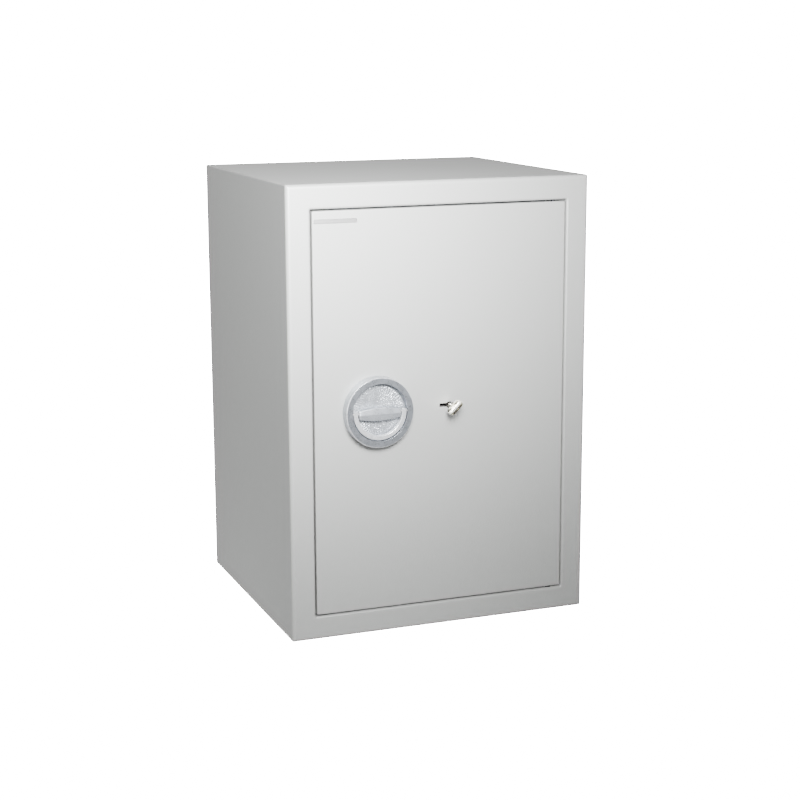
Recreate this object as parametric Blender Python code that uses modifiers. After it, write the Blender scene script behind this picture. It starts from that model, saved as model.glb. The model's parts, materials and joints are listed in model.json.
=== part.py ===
"""Free-standing key-locking cabinet safe, modelled as separate pieces.

Metres, +Z up. The origin is the middle of the underside; the door faces -Y and
hangs on concealed pins at its right edge. The door stands closed with its bolts
drawn back, the grip folded flat and the key half turned in the lock.
"""
import math

import bmesh
import bpy
from mathutils import Matrix, Vector

# ---- driving dimensions ---------------------------------------------------
WIDTH = 0.450
HEIGHT = 0.640
DEPTH = 0.410
FRONT = -DEPTH / 2                  # plane of the door face and the frame face
BACK = DEPTH / 2
GAP = 0.0003                        # air between pieces that touch
SHEET = 0.003                       # casing sheet
LINER = 0.002                       # liner sheet
FRAME_FACE = 0.034                  # width of the frame round the door
REVEAL_DEPTH = 0.030                # the frame's return, from the face
CHAMBER_END = 0.070                 # bolt chamber, from the face to the liner
BACK_WALL = 0.030
ROUND_EDGE = 0.006                  # casing's outer folds

OPEN_X = WIDTH / 2 - FRAME_FACE     # half width of the doorway
OPEN_LOW = FRAME_FACE
OPEN_HIGH = HEIGHT - FRAME_FACE
DOOR_GAP = 0.0025
DOOR_THICK = 0.004
DOOR_RETURN = 0.012                 # depth of the plate's folded edge
DOOR_RETURN_WALL = 0.002
WORKS_Z = HEIGHT / 2 + 0.0033       # level of the handle, the key and the boltwork

PIVOT_IN = 0.018                    # hinge axis, from the right reveal
PIVOT_DEEP = 0.008                  # hinge axis, behind the face
PIVOT_X = OPEN_X - PIVOT_IN
PIN_R = 0.0025
BUSH_R = 0.0045

PAN_LEFT = -OPEN_X + 0.0075
PAN_RIGHT = PIVOT_X - 0.008
PAN_LOW = OPEN_LOW + 0.006
PAN_HIGH = OPEN_HIGH - 0.006
PAN_WALL = 0.0025
PAN_END = 0.054
PAN_FLANGE = 0.014
BOARD_END = 0.0203                  # fire board, from behind the door plate
CARRIER_START = 0.0206
CARRIER_END = 0.0226
COVER_THICK = 0.0015

ANCHOR_X = (-0.120, 0.120)           # anchor holes in floor and back
ANCHOR_Y = 0.060
ANCHOR_R = 0.007
BACK_ANCHOR_Z = 0.450
PLUG_HEAD_R = 0.011
LINER_X = OPEN_X
LINER_LOW = OPEN_LOW
LINER_HIGH = OPEN_HIGH
LINER_BACK = BACK - BACK_WALL
PEG_STEP = 0.060                    # rows of shelf pegs
PEG_ROWS = 7
PEG_FIRST = LINER_LOW + 0.110
PEG_R = 0.003
PEG_Y = (FRONT + 0.130, LINER_BACK - 0.055)
CLIP_HALF = 0.009
CLIP_THICK = 0.002
SHELF_ROW = 3
SHELF_THICK = 0.0015
SHELF_EDGE = 0.018

HANDLE_X = -0.098
HANDLE_R = 0.0495
HANDLE_PROUD = 0.016                # grip disc's face, in front of the door
DISH_R = 0.0404
DISH_DEEP = 0.0095
BAIL_OUTER_R = 0.0390
BAIL_INNER_R = 0.0322
BAIL_THICK = 0.0052
BAIL_AXIS_DEEP = 0.0032             # grip's pin, behind the disc's face
BAIL_EAR = 0.0032                   # the grip's ends, above its pin
BAR_RISE = -0.0022                  # crossbar's centre line, from the axis
BAR_MIDDLE_HALF = 0.0101
BAR_END_HALF = 0.0073
BAR_CLIP_R = 0.0308
SPINDLE_R = 0.0050
SPINDLE_HOLE_R = 0.0082
SPINDLE_PASS_R = 0.0085
GRIP_PIN_R = 0.0017
GRIP_PIN_LONG = 0.0866

CRANK_R = 0.0145                    # drive pins, from the spindle's axis
DRIVE_PIN_R = 0.0030
SLOT_SLACK = 0.0008                 # lets a straight slide follow a turning pin
CAM_R = 0.026
CAM_START = 0.0230
CAM_END = 0.0270
ROD_START = 0.0275                  # layer of the top and bottom rods
ROD_END = 0.0305
BAR_START = 0.0315                  # layer of the side bolt bar
BAR_END = 0.0345
BOLT_R = 0.009
BOLT_DEEP = 0.042                   # bolts' centre line, behind the face
SIDE_BOLT_STEP = 0.190

TOP_BOLT_X = HANDLE_X + 0.026
LOW_BOLT_X = HANDLE_X - 0.026
ROD_NEAR = 0.020                    # the rods' arms, from the spindle's axis
ROD_FAR = 0.032
BAR_FLANGE_X = PAN_LEFT + 0.028

KEY_X = 0.0115
KEY_SLOT_HALF = 0.0150
KEY_SLOT_HIGH = 0.0054
KEY_HOLE_R = 0.0047
KEY_SHANK_R = 0.0032
KEY_BOW_DEEP = -0.0215              # bow's centre, in front of the face
KEY_BOW_WIDE = 0.0118
KEY_BOW_LONG = 0.0102
KEY_BOW_THICK = 0.0046
KEY_BOW_SQUARE = 0.5
KEY_TURN = 45.0                     # the key stands half way through its turn
LOCK_LEFT = -0.024
LOCK_RIGHT = 0.048
LOCK_HALF_HIGH = 0.032
LOCK_START = 0.0230
LOCK_END = 0.0470
LOCK_WALL = 0.002
LATCH_HALF_HIGH = 0.005
LATCH_START = 0.0233
LATCH_END = 0.0267
LATCH_TAIL = -0.0155
LATCH_REACH = 0.006                 # lock bolt's travel to either side
LEVERS = 4
LEVER_THICK = 0.0015
LEVER_STEP = 0.0021
LEVER_FIRST = 0.0310
LEVER_LAST = 0.0450
LEVER_X = KEY_X + 0.0270
LEVER_Z = WORKS_Z + 0.0200
LEVER_POST_R = 0.0025
BIT_REACH = 0.0125

STEEL_GREY = (0.60, 0.61, 0.60)
LINER_GREY = (0.56, 0.57, 0.57)
HANDLE_GREY = (0.55, 0.57, 0.60)
BRIGHT_STEEL = (0.62, 0.62, 0.62)
ZINC = (0.70, 0.68, 0.60)
BRASS = (0.72, 0.55, 0.26)
BLUED_STEEL = (0.06, 0.06, 0.065)
BOARD_GREY = (0.30, 0.29, 0.28)
BLACK_PLASTIC = (0.03, 0.03, 0.03)
NICKEL = (0.76, 0.74, 0.66)


# ---- scene, collections and materials ------------------------------------
for old in list(bpy.data.objects):
    bpy.data.objects.remove(old, do_unlink=True)


def collection(name):
    """Return a new collection linked to the scene."""
    group = bpy.data.collections.new(name)
    bpy.context.scene.collection.children.link(group)
    return group


PARTS = collection("safe")
CUTTERS = collection("cutters")


def finish_material(name, color, roughness=0.45, metallic=0.0):
    """Make a Principled material of one colour."""
    mat = bpy.data.materials.new(name)
    mat.use_nodes = True
    shader = mat.node_tree.nodes["Principled BSDF"]
    shader.inputs["Base Color"].default_value = (*color, 1.0)
    shader.inputs["Roughness"].default_value = roughness
    shader.inputs["Metallic"].default_value = metallic
    return mat


PAINT = (STEEL_GREY, 0.45, 0.0)
STEEL = (BRIGHT_STEEL, 0.35, 1.0)
ZINCED = (ZINC, 0.40, 1.0)
SILVER = (HANDLE_GREY, 0.38, 0.7)
NICKEL_LOOK = (NICKEL, 0.25, 1.0)
BRASS_LOOK = (BRASS, 0.3, 1.0)
BLUED_LOOK = (BLUED_STEEL, 0.45, 0.8)
BOARD_LOOK = (BOARD_GREY, 0.9, 0.0)
BLACK_LOOK = (BLACK_PLASTIC, 0.5, 0.0)
LINER_LOOK = (LINER_GREY, 0.5, 0.0)


# ---- making shapes -------------------------------------------------------
def new_object(name, mesh, look=None, at=(0, 0, 0)):
    """Link a mesh as a part with its own material, or as a hidden cutter."""
    obj = bpy.data.objects.new(name, mesh)
    obj.location = at
    if look is None:
        CUTTERS.objects.link(obj)
        obj.hide_render = True
        obj.display_type = "WIRE"
    else:
        PARTS.objects.link(obj)
        mesh.materials.append(finish_material(name, *look))
    return obj


def box(name, low, high, look=None):
    """A block between two corners."""
    middle = [(a + b) / 2 for a, b in zip(low, high)]
    size = [b - a for a, b in zip(low, high)]
    bm = bmesh.new()
    bmesh.ops.create_cube(bm, size=1.0)
    bmesh.ops.scale(bm, vec=size, verts=bm.verts)
    mesh = bpy.data.meshes.new(name)
    bm.to_mesh(mesh)
    bm.free()
    return new_object(name, mesh, look, middle)


AXIS_TURN = {
    "X": Matrix.Rotation(math.radians(90), 4, "Y"),
    "Y": Matrix.Rotation(math.radians(-90), 4, "X"),
    "Z": Matrix.Identity(4),
}


def rod(name, radius, length, middle, axis="Y", look=None, sides=32, tip_radius=None):
    """A cylinder, or a cone whose far end along the axis has tip_radius."""
    bm = bmesh.new()
    end = radius if tip_radius is None else tip_radius
    bmesh.ops.create_cone(bm, cap_ends=True, segments=sides, radius1=radius, radius2=end, depth=length)
    bmesh.ops.transform(bm, matrix=AXIS_TURN[axis], verts=bm.verts)
    mesh = bpy.data.meshes.new(name)
    bm.to_mesh(mesh)
    bm.free()
    mesh.shade_smooth()
    mesh.set_sharp_from_angle(angle=math.radians(35))
    return new_object(name, mesh, look, middle)


def turned(name, profile, middle, axis="Y", look=None, sides=48):
    """A turned piece: (radius, height) points down its outer side, top to bottom."""
    bm = bmesh.new()
    points = [bm.verts.new((radius, 0.0, height)) for radius, height in profile]
    for start, end in zip(points, points[1:]):
        bm.edges.new((start, end))
    mesh = bpy.data.meshes.new(name)
    bm.to_mesh(mesh)
    bm.free()
    obj = new_object(name, mesh, look, middle)
    obj.rotation_euler = AXIS_TURN[axis].to_euler()
    screw = obj.modifiers.new("turn", "SCREW")
    screw.steps = sides
    screw.render_steps = sides
    screw.use_merge_vertices = True
    screw.merge_threshold = 0.00001
    screw.use_smooth_shade = False
    return obj


def outline(name, points, thickness, middle, look=None, holes=()):
    """A flat plate in the XZ plane, from outlines of (x, z) points about middle."""
    curve = bpy.data.curves.new(name, "CURVE")
    curve.dimensions = "2D"
    curve.fill_mode = "BOTH"
    curve.extrude = thickness / 2
    for ring in (points, *holes):
        spline = curve.splines.new("POLY")
        spline.points.add(len(ring) - 1)
        for point, (x, z) in zip(spline.points, ring):
            point.co = (x, z, 0.0, 1.0)
        spline.use_cyclic_u = True
    return curve_to_part(name, curve, middle, look, Matrix.Rotation(math.radians(90), 4, "X"))


def curve_to_part(name, curve, middle, look, turn=Matrix.Identity(4)):
    """Turn a curve into a welded mesh object, ready to be cut or joined."""
    guide = bpy.data.objects.new(name + "_guide", curve)
    CUTTERS.objects.link(guide)
    bpy.context.view_layer.update()
    ready = guide.evaluated_get(bpy.context.evaluated_depsgraph_get())
    mesh = bpy.data.meshes.new_from_object(ready)
    bpy.data.objects.remove(guide, do_unlink=True)
    mesh.materials.clear()
    bm = bmesh.new()
    bm.from_mesh(mesh)
    bmesh.ops.remove_doubles(bm, verts=bm.verts, dist=0.00001)
    bmesh.ops.transform(bm, matrix=turn, verts=bm.verts)
    bmesh.ops.recalc_face_normals(bm, faces=bm.faces)
    bm.to_mesh(mesh)
    bm.free()
    mesh.shade_smooth()
    mesh.set_sharp_from_angle(angle=math.radians(35))
    return new_object(name, mesh, look, middle)


def arc(radius, start, end, steps, centre=(0.0, 0.0)):
    """Points on an arc; angles in degrees, counter-clockwise from +X."""
    turns = [math.radians(start + (end - start) * i / steps) for i in range(steps + 1)]
    return [(centre[0] + radius * math.cos(t), centre[1] + radius * math.sin(t)) for t in turns]


def rounded_oblong(half_wide, half_long, squareness, steps):
    """Points on a superellipse: 1 is an ellipse, and less is squarer."""
    points = []
    for c, s in arc(1.0, 0, 360 - 360 / steps, steps - 1):
        x = math.copysign(abs(c) ** squareness, c)
        z = math.copysign(abs(s) ** squareness, s)
        points.append((half_wide * x, half_long * z))
    return points


def boolean(target, other, operation="DIFFERENCE"):
    """Cut or join one object with another."""
    step = target.modifiers.new(operation.lower() + "_" + other.name, "BOOLEAN")
    step.operation = operation
    step.solver = "EXACT"
    step.object = other
    return target


def bevel(target, width, segments=2, angle=50):
    """Round every edge sharper than an angle."""
    step = target.modifiers.new("rounding", "BEVEL")
    step.width = width
    step.segments = segments
    step.limit_method = "ANGLE"
    step.angle_limit = math.radians(angle)
    return target


def axis_empty(name, at, parent=None):
    """An empty that stands on a joint's axis."""
    empty = bpy.data.objects.new(name, None)
    empty.empty_display_size = 0.03
    PARTS.objects.link(empty)
    empty["world"] = list(at)
    if parent is None:
        empty.location = at
    else:
        hang(empty, parent, at)
    return empty


def hang(obj, empty, at=None):
    """Parent an object to a joint's empty and keep its place."""
    place = Vector(obj.location if at is None else at)
    obj.parent = empty
    obj.location = place - Vector(empty["world"])


def deep(distance):
    """The Y of a point this far behind the face."""
    return FRONT + distance


# ---- the cabinet ---------------------------------------------------------
def make_casing():
    """Outer casing with the frame's face and its return round the doorway."""
    casing = box("outer_casing", (-WIDTH / 2, FRONT, 0), (WIDTH / 2, BACK, HEIGHT), PAINT)
    bevel(casing, ROUND_EDGE, 3)
    inner_x = WIDTH / 2 - SHEET
    beyond = BACK + 0.02
    hollow = box("casing_hollow", (-inner_x, deep(REVEAL_DEPTH), SHEET), (inner_x, beyond, HEIGHT - SHEET))
    doorway = box("casing_doorway", (-OPEN_X, FRONT - 0.02, OPEN_LOW), (OPEN_X, 0, OPEN_HIGH))
    channel = box("casing_channel", (-inner_x, deep(SHEET), SHEET), (inner_x, 0, HEIGHT - SHEET))
    lip_low = (-OPEN_X - SHEET, FRONT - 0.02, OPEN_LOW - SHEET)
    lip = box("casing_lip", lip_low, (OPEN_X + SHEET, 0.05, OPEN_HIGH + SHEET))
    boolean(channel, lip)
    for cutter in (hollow, channel, doorway):
        boolean(casing, cutter)
    for z, side in ((OPEN_HIGH, 1), (OPEN_LOW, -1)):
        bush_hole = rod("bush_hole", BUSH_R + GAP, 0.02, (PIVOT_X, deep(PIVOT_DEEP), z), "Z", None, 24)
        boolean(casing, bush_hole)
        bush_low = z - 0.0002 if side > 0 else z - SHEET - 0.004
        make_bush("upper" if side > 0 else "lower", bush_low, SHEET + 0.0042)
    for x in ANCHOR_X:
        boolean(casing, rod("floor_anchor_hole", ANCHOR_R, 0.02, (x, ANCHOR_Y, 0), "Z", None, 16))
    return casing


def make_bush(which, low, length):
    """A brass bush that a hinge pin turns in."""
    ring = [
        (BUSH_R, length),
        (BUSH_R, 0.0),
        (PIN_R + GAP, 0.0),
        (PIN_R + GAP, length),
        (BUSH_R, length),
    ]
    place = (PIVOT_X, deep(PIVOT_DEEP), low)
    return turned("hinge_bush_" + which, ring, place, "Z", BLUED_LOOK, 24)


def make_back():
    """Back panel, set between the casing's edges."""
    inset = SHEET + GAP
    low = (-WIDTH / 2 + inset, BACK - SHEET, inset)
    panel = box("back_panel", low, (WIDTH / 2 - inset, BACK, HEIGHT - inset), PAINT)
    for x in ANCHOR_X:
        boolean(panel, rod("back_anchor_hole", ANCHOR_R, 0.02, (x, BACK, BACK_ANCHOR_Z), "Y", None, 16))


def make_liner():
    """Storage box with an outward flange at its mouth and rows of peg holes."""
    start = deep(CHAMBER_END)
    low = (-LINER_X - LINER, start, LINER_LOW - LINER)
    high = (LINER_X + LINER, LINER_BACK + LINER, LINER_HIGH + LINER)
    liner = box("inner_liner", low, high, LINER_LOOK)
    side = WIDTH / 2 - SHEET - GAP
    flange = box("liner_flange", (-side, start, SHEET + GAP), (side, start + LINER, HEIGHT - SHEET - GAP))
    boolean(liner, flange, "UNION")
    mouth = start - 0.01
    store = box("liner_store", (-LINER_X, mouth, LINER_LOW), (LINER_X, LINER_BACK, LINER_HIGH))
    boolean(liner, store)
    for row in range(PEG_ROWS):
        for y in PEG_Y:
            place = (0, y, PEG_FIRST + row * PEG_STEP)
            boolean(liner, rod("peg_hole", PEG_R, WIDTH, place, "X", None, 8))
    drill_anchor_holes(liner)
    return liner


def drill_anchor_holes(piece):
    """Holes for the floor and wall anchors."""
    for x in ANCHOR_X:
        boolean(piece, rod("floor_hole", ANCHOR_R, 0.12, (x, ANCHOR_Y, 0), "Z", None, 16))
        boolean(piece, rod("wall_hole", ANCHOR_R, 0.12, (x, BACK, BACK_ANCHOR_Z), "Y", None, 16))


def make_insulation():
    """The fill between casing and liner, open at the front."""
    side = WIDTH / 2 - SHEET - GAP
    start = deep(CHAMBER_END) + LINER + GAP
    low = (-side, start, SHEET + GAP)
    fill = box("wall_insulation", low, (side, BACK - SHEET - GAP, HEIGHT - SHEET - GAP), BOARD_LOOK)
    gap = LINER + GAP
    hollow_low = (-LINER_X - gap, start - 0.01, LINER_LOW - gap)
    hollow = box("fill_hollow", hollow_low, (LINER_X + gap, LINER_BACK + gap, LINER_HIGH + gap))
    boolean(fill, hollow)
    drill_anchor_holes(fill)


def make_anchor_plugs():
    """Plastic plugs that close the anchor holes from the inside."""
    head, shank, thick, length = PLUG_HEAD_R, ANCHOR_R - GAP, 0.002, 0.016
    profile = [
        (0.0, thick),
        (head - 0.001, thick),
        (head, thick / 2),
        (head, 0.0),
        (shank, 0.0),
        (shank, -length),
        (0.0, -length),
    ]
    for number, x in enumerate(ANCHOR_X, 1):
        turned(f"floor_anchor_plug_{number}", profile, (x, ANCHOR_Y, LINER_LOW + GAP), "Z", BLACK_LOOK, 16)
        at = (x, LINER_BACK - GAP, BACK_ANCHOR_Z)
        plug = turned(f"wall_anchor_plug_{number}", profile, at, "Y", BLACK_LOOK, 16)
        plug.rotation_euler = Matrix.Rotation(math.radians(90), 4, "X").to_euler()


def make_shelf():
    """Height-adjustable shelf on its own lift axis, and the clips it lies on."""
    row_z = PEG_FIRST + SHELF_ROW * PEG_STEP
    for number, (side, y) in enumerate(((s, y) for s in (-1, 1) for y in PEG_Y), 1):
        tab = (side * (LINER_X - GAP), side * (LINER_X - 0.012))
        low = (min(tab), y - CLIP_HALF, row_z)
        clip = box(f"shelf_clip_{number}", low, (max(tab), y + CLIP_HALF, row_z + CLIP_THICK), ZINCED)
        plate_x = sorted((side * (LINER_X - GAP), side * (LINER_X - GAP - 0.003)))
        plate_low = (plate_x[0], y - CLIP_HALF, row_z - 0.012)
        boolean(clip, box("clip_plate", plate_low, (plate_x[1], y + CLIP_HALF, row_z + 0.001)), "UNION")
        peg = rod("clip_peg", PEG_R - GAP, 0.005, (side * (LINER_X - 0.001), y, row_z), "X", None, 8)
        boolean(clip, peg, "UNION")
    lift = axis_empty("shelf_lift_axis", (0, 0, row_z))
    half = LINER_X - 0.002
    seat = row_z + CLIP_THICK + GAP
    low = (-half, deep(CHAMBER_END) + 0.030, seat)
    high = (half, LINER_BACK - 0.010, seat + SHELF_EDGE)
    shelf = box("shelf", low, high, LINER_LOOK)
    bevel(shelf, 0.001, 2)
    wall = SHELF_THICK
    under_low = (-half - 0.01, low[1] + wall, low[2] - 0.01)
    boolean(shelf, box("shelf_under", under_low, (half + 0.01, high[1] - wall, high[2] - wall)))
    hang(shelf, lift)


# ---- the door ------------------------------------------------------------
def keyway(y_from, y_to, slack=0.0):
    """Cutters for the keyhole: a flat slot and a round hole at its middle."""
    half = KEY_SLOT_HALF + slack
    high = KEY_SLOT_HIGH / 2 + slack
    slot = box("key_slot", (KEY_X - half, y_from, WORKS_Z - high), (KEY_X + half, y_to, WORKS_Z + high))
    bevel(slot, 0.0012, 2)
    middle = (KEY_X, (y_from + y_to) / 2, WORKS_Z)
    return slot, rod("key_hole", KEY_HOLE_R + slack, y_to - y_from, middle, "Y", None, 24)


def make_door_skin(door):
    """Front plate with a folded return, the spindle hole and the keyhole."""
    low = (-OPEN_X + DOOR_GAP, FRONT, OPEN_LOW + DOOR_GAP)
    high = (OPEN_X - DOOR_GAP, deep(DOOR_RETURN), OPEN_HIGH - DOOR_GAP)
    plate = box("door_plate", low, high, PAINT)
    bevel(plate, 0.0012, 2)
    wall = DOOR_RETURN_WALL
    tray_low = (low[0] + wall, deep(DOOR_THICK), low[2] + wall)
    boolean(plate, box("plate_tray", tray_low, (high[0] - wall, high[1] + 0.01, high[2] - wall)))
    for z in (low[2], high[2]):
        boolean(plate, rod("pin_pass", PIN_R + GAP, 0.01, (PIVOT_X, deep(PIVOT_DEEP), z), "Z", None, 20))
    for cutter in keyway(FRONT - 0.01, deep(DOOR_THICK) + 0.01):
        boolean(plate, cutter)
    boolean(plate, rod("spindle_hole", SPINDLE_HOLE_R, 0.03, (HANDLE_X, FRONT, WORKS_Z), "Y", None, 24))
    hang(plate, door)
    badge_low = (low[0] + 0.002, FRONT - 0.0003 - 0.0008, OPEN_HIGH - 0.0195)
    badge = box("badge_plate", badge_low, (badge_low[0] + 0.062, FRONT - GAP, badge_low[2] + 0.006), STEEL)
    hang(badge, door)


def make_door_pan(door):
    """Pan behind the plate with an inward flange, and slots for the bolts."""
    low = (PAN_LEFT, deep(DOOR_THICK + GAP), PAN_LOW)
    pan = box("door_pan", low, (PAN_RIGHT, deep(PAN_END), PAN_HIGH), PAINT)
    wall = PAN_WALL
    inner_low = (PAN_LEFT + wall, FRONT - 0.01, PAN_LOW + wall)
    inner = box("pan_inner", inner_low, (PAN_RIGHT - wall, deep(PAN_END - 0.002), PAN_HIGH - wall))
    edge = PAN_FLANGE
    mouth_low = (PAN_LEFT + edge, FRONT, PAN_LOW + edge)
    mouth = box("pan_mouth", mouth_low, (PAN_RIGHT - edge, BACK, PAN_HIGH - edge))
    boolean(pan, inner)
    boolean(pan, mouth)
    for z in side_bolt_heights():
        place = (PAN_LEFT, deep(BOLT_DEEP), z)
        boolean(pan, rod("side_bolt_hole", BOLT_R + 0.0005, 0.02, place, "X", None, 24))
    for x, z in ((TOP_BOLT_X, PAN_HIGH), (LOW_BOLT_X, PAN_LOW)):
        boolean(pan, rod("rod_bolt_hole", BOLT_R + 0.0005, 0.02, (x, deep(BOLT_DEEP), z), "Z", None, 24))
    for x, z in cover_screw_places():
        boolean(pan, rod("screw_hole", 0.0026, 0.01, (x, deep(PAN_END), z), "Y", None, 10))
    hang(pan, door)


def side_bolt_heights():
    """Heights of the three side bolts."""
    return [WORKS_Z + step * SIDE_BOLT_STEP for step in (-1, 0, 1)]


def cover_screw_places():
    """(x, z) of the six screws that hold the inner cover."""
    edge = PAN_FLANGE / 2 + 0.0005
    rows = (PAN_LOW + edge, WORKS_Z + 0.060, PAN_HIGH - edge)
    return [(x, z) for x in (PAN_LEFT + edge, PAN_RIGHT - edge) for z in rows]


def make_door_inside(door):
    """Fire board, carrier plate, inner cover, its screws and the seal."""
    wall = PAN_WALL + GAP
    left, right = PAN_LEFT + wall, PAN_RIGHT - wall
    low, high = PAN_LOW + wall, PAN_HIGH - wall
    board = box("fire_board", (left, deep(DOOR_THICK + GAP), low), (right, deep(BOARD_END), high), BOARD_LOOK)
    carrier = box("carrier_plate", (left, deep(CARRIER_START), low), (right, deep(CARRIER_END), high), ZINCED)
    for piece in (board, carrier):
        for cutter in keyway(FRONT, deep(0.03), 0.0005):
            boolean(piece, cutter)
        at = (HANDLE_X, deep(0.015), WORKS_Z)
        boolean(piece, rod("spindle_pass", SPINDLE_PASS_R, 0.06, at, "Y", None, 24))
        hang(piece, door)
    start = PAN_END + GAP
    cover_low = (PAN_LEFT, deep(start), PAN_LOW)
    cover = box("inner_cover", cover_low, (PAN_RIGHT, deep(start + COVER_THICK), PAN_HIGH), PAINT)
    for number, (x, z) in enumerate(cover_screw_places(), 1):
        boolean(cover, rod("cover_hole", 0.0026, 0.01, (x, deep(start), z), "Y", None, 10))
        make_cover_screw(number, x, z, door)
    hang(cover, door)
    make_seal(door)


def make_cover_screw(number, x, z, door):
    """A pan-head screw through the inner cover."""
    head, shank, high, length = 0.0048, 0.0022, 0.0026, 0.0038
    profile = [
        (0.0, high),
        (head * 0.7, high),
        (head, high * 0.45),
        (head, 0.0),
        (shank, 0.0),
        (shank, -length),
        (0.0, -length),
    ]
    at = (x, deep(PAN_END + GAP + COVER_THICK + GAP), z)
    hang(turned(f"cover_screw_{number}", profile, at, "Y", ZINCED, 12), door)


def make_seal(door):
    """Heat seal round the outside of the pan."""
    near, thick = GAP, 0.0015
    start, end = deep(0.016), deep(0.026)
    low = (PAN_LEFT - near - thick, start, PAN_LOW - near - thick)
    seal = box("door_seal", low, (PAN_RIGHT + near + thick, end, PAN_HIGH + near + thick), BLACK_LOOK)
    hole_low = (PAN_LEFT - near, start - 0.01, PAN_LOW - near)
    boolean(seal, box("seal_hole", hole_low, (PAN_RIGHT + near, end + 0.01, PAN_HIGH + near)))
    hang(seal, door)


def make_hinges(door):
    """Hinge blocks and pins at the door's right corners, and the fixed bar."""
    block_low = (PIVOT_X - 0.0075, PIVOT_X + 0.0075)
    tall = 0.030
    for which, edge, side in (("upper", OPEN_HIGH - DOOR_GAP, 1), ("lower", OPEN_LOW + DOOR_GAP, -1)):
        near, far = sorted((edge - side * (DOOR_RETURN_WALL + GAP), edge - side * tall))
        low = (block_low[0], deep(DOOR_THICK + GAP), near)
        block = box("hinge_block_" + which, low, (block_low[1], deep(0.0135), far), BLUED_LOOK)
        bevel(block, 0.0008, 1)
        length = 0.020
        middle = edge - side * (length / 2 - SHEET - DOOR_GAP)
        at = (PIVOT_X, deep(PIVOT_DEEP), middle)
        boolean(block, rod("pin_hole", PIN_R + GAP, length + 2 * GAP, at, "Z", None, 20))
        pin = rod("hinge_pin_" + which, PIN_R, length, at, "Z", BLUED_LOOK, 20)
        hang(block, door)
        hang(pin, door)
    low = (PAN_RIGHT + GAP, deep(0.0335), WORKS_Z - 0.200)
    bar = box("hinge_side_bar", low, (OPEN_X + 0.006, deep(0.0395), WORKS_Z + 0.200), ZINCED)
    bevel(bar, 0.0012, 1)
    hang(bar, door)


# ---- the boltwork --------------------------------------------------------
def pin_place(angle):
    """(x, z) of a drive pin at an angle round the spindle."""
    turn = math.radians(angle)
    return HANDLE_X + CRANK_R * math.cos(turn), WORKS_Z + CRANK_R * math.sin(turn)


def make_cam(handle):
    """Drive cam on the spindle: a disc with three pins and two latch notches."""
    middle = (HANDLE_X, deep((CAM_START + CAM_END) / 2), WORKS_Z)
    cam = rod("drive_cam", CAM_R, CAM_END - CAM_START, middle, "Y", ZINCED, 48)
    for angle, end in ((45, BAR_END), (-45, ROD_END), (135, ROD_END)):
        x, z = pin_place(angle)
        start = CAM_END - 0.001
        length = end + 0.0005 - start
        pin = rod("drive_pin", DRIVE_PIN_R, length, (x, deep(start + length / 2), z), "Y", None, 16)
        boolean(cam, pin, "UNION")
    boolean(cam, rod("cam_bore", SPINDLE_R + GAP, 0.02, middle, "Y", None, 24))
    reach, half = 0.0075, LATCH_HALF_HIGH + 0.001
    side_low = (HANDLE_X + CAM_R - reach, deep(CAM_START) - 0.01, WORKS_Z - half)
    behind = deep(CAM_END) + 0.001
    boolean(cam, box("notch_side", side_low, (HANDLE_X + CAM_R + 0.01, behind, WORKS_Z + half)))
    foot_low = (HANDLE_X - half, deep(CAM_START) - 0.01, WORKS_Z - CAM_R - 0.01)
    boolean(cam, box("notch_low", foot_low, (HANDLE_X + half, behind, WORKS_Z - CAM_R + reach)))
    hang(cam, handle)


def make_rod(name, angle, side, bolt_name, bolt_x, tip_z, parent):
    """A top or bottom rod: slotted foot, arm, end flange, and its bolt."""
    pin_x, pin_z = pin_place(angle)
    reach = side * (CRANK_R + DRIVE_PIN_R + SLOT_SLACK)
    foot_half = DRIVE_PIN_R + SLOT_SLACK + 0.004
    arm_near, arm_far = HANDLE_X + side * ROD_NEAR, HANDLE_X + side * ROD_FAR
    layer = (deep(ROD_START), deep(ROD_END))
    inner_x = HANDLE_X + side * 0.0062
    foot_x = sorted((inner_x, arm_far))
    foot_low = (foot_x[0], layer[0], pin_z - foot_half)
    foot = box(name, foot_low, (foot_x[1], layer[1], pin_z + foot_half), ZINCED)
    flange_z = tip_z - side * 0.0255
    arm_z = sorted((pin_z, flange_z))
    arm_x = sorted((arm_near, arm_far))
    arm = box(name + "_arm", (arm_x[0], layer[0], arm_z[0]), (arm_x[1], layer[1], arm_z[1]))
    boolean(foot, arm, "UNION")
    seat_z = sorted((flange_z, flange_z - side * 0.003))
    seat_half = 0.010
    seat_low = (bolt_x - seat_half, layer[0], seat_z[0])
    seat = box(name + "_seat", seat_low, (bolt_x + seat_half, deep(BOLT_DEEP + BOLT_R), seat_z[1]))
    boolean(foot, seat, "UNION")
    half = DRIVE_PIN_R + SLOT_SLACK
    slot_x = sorted((HANDLE_X + side * (CRANK_R * math.cos(math.radians(45)) - half), HANDLE_X + reach))
    slot_low = (slot_x[0], layer[0] - 0.01, pin_z - half)
    boolean(foot, box(name + "_slot", slot_low, (slot_x[1], layer[1] + 0.001, pin_z + half)))
    hang(foot, parent)
    bolt_start = (bolt_x, deep(BOLT_DEEP), flange_z + side * GAP)
    add_bolt(bolt_name, bolt_start, (bolt_x, deep(BOLT_DEEP), tip_z), parent)


def add_bolt(name, start, tip, parent):
    """A round bolt from its seat to its tip, with a chamfered nose."""
    start, tip = Vector(start), Vector(tip)
    way = tip - start
    axis = "X" if abs(way.x) > abs(way.z) else "Z"
    bolt = rod(name, BOLT_R, way.length, (start + tip) / 2, axis, STEEL, 32)
    step = bevel(bolt, 0.0015, 1).modifiers["rounding"]
    step.angle_limit = math.radians(60)
    hang(bolt, parent)


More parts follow.
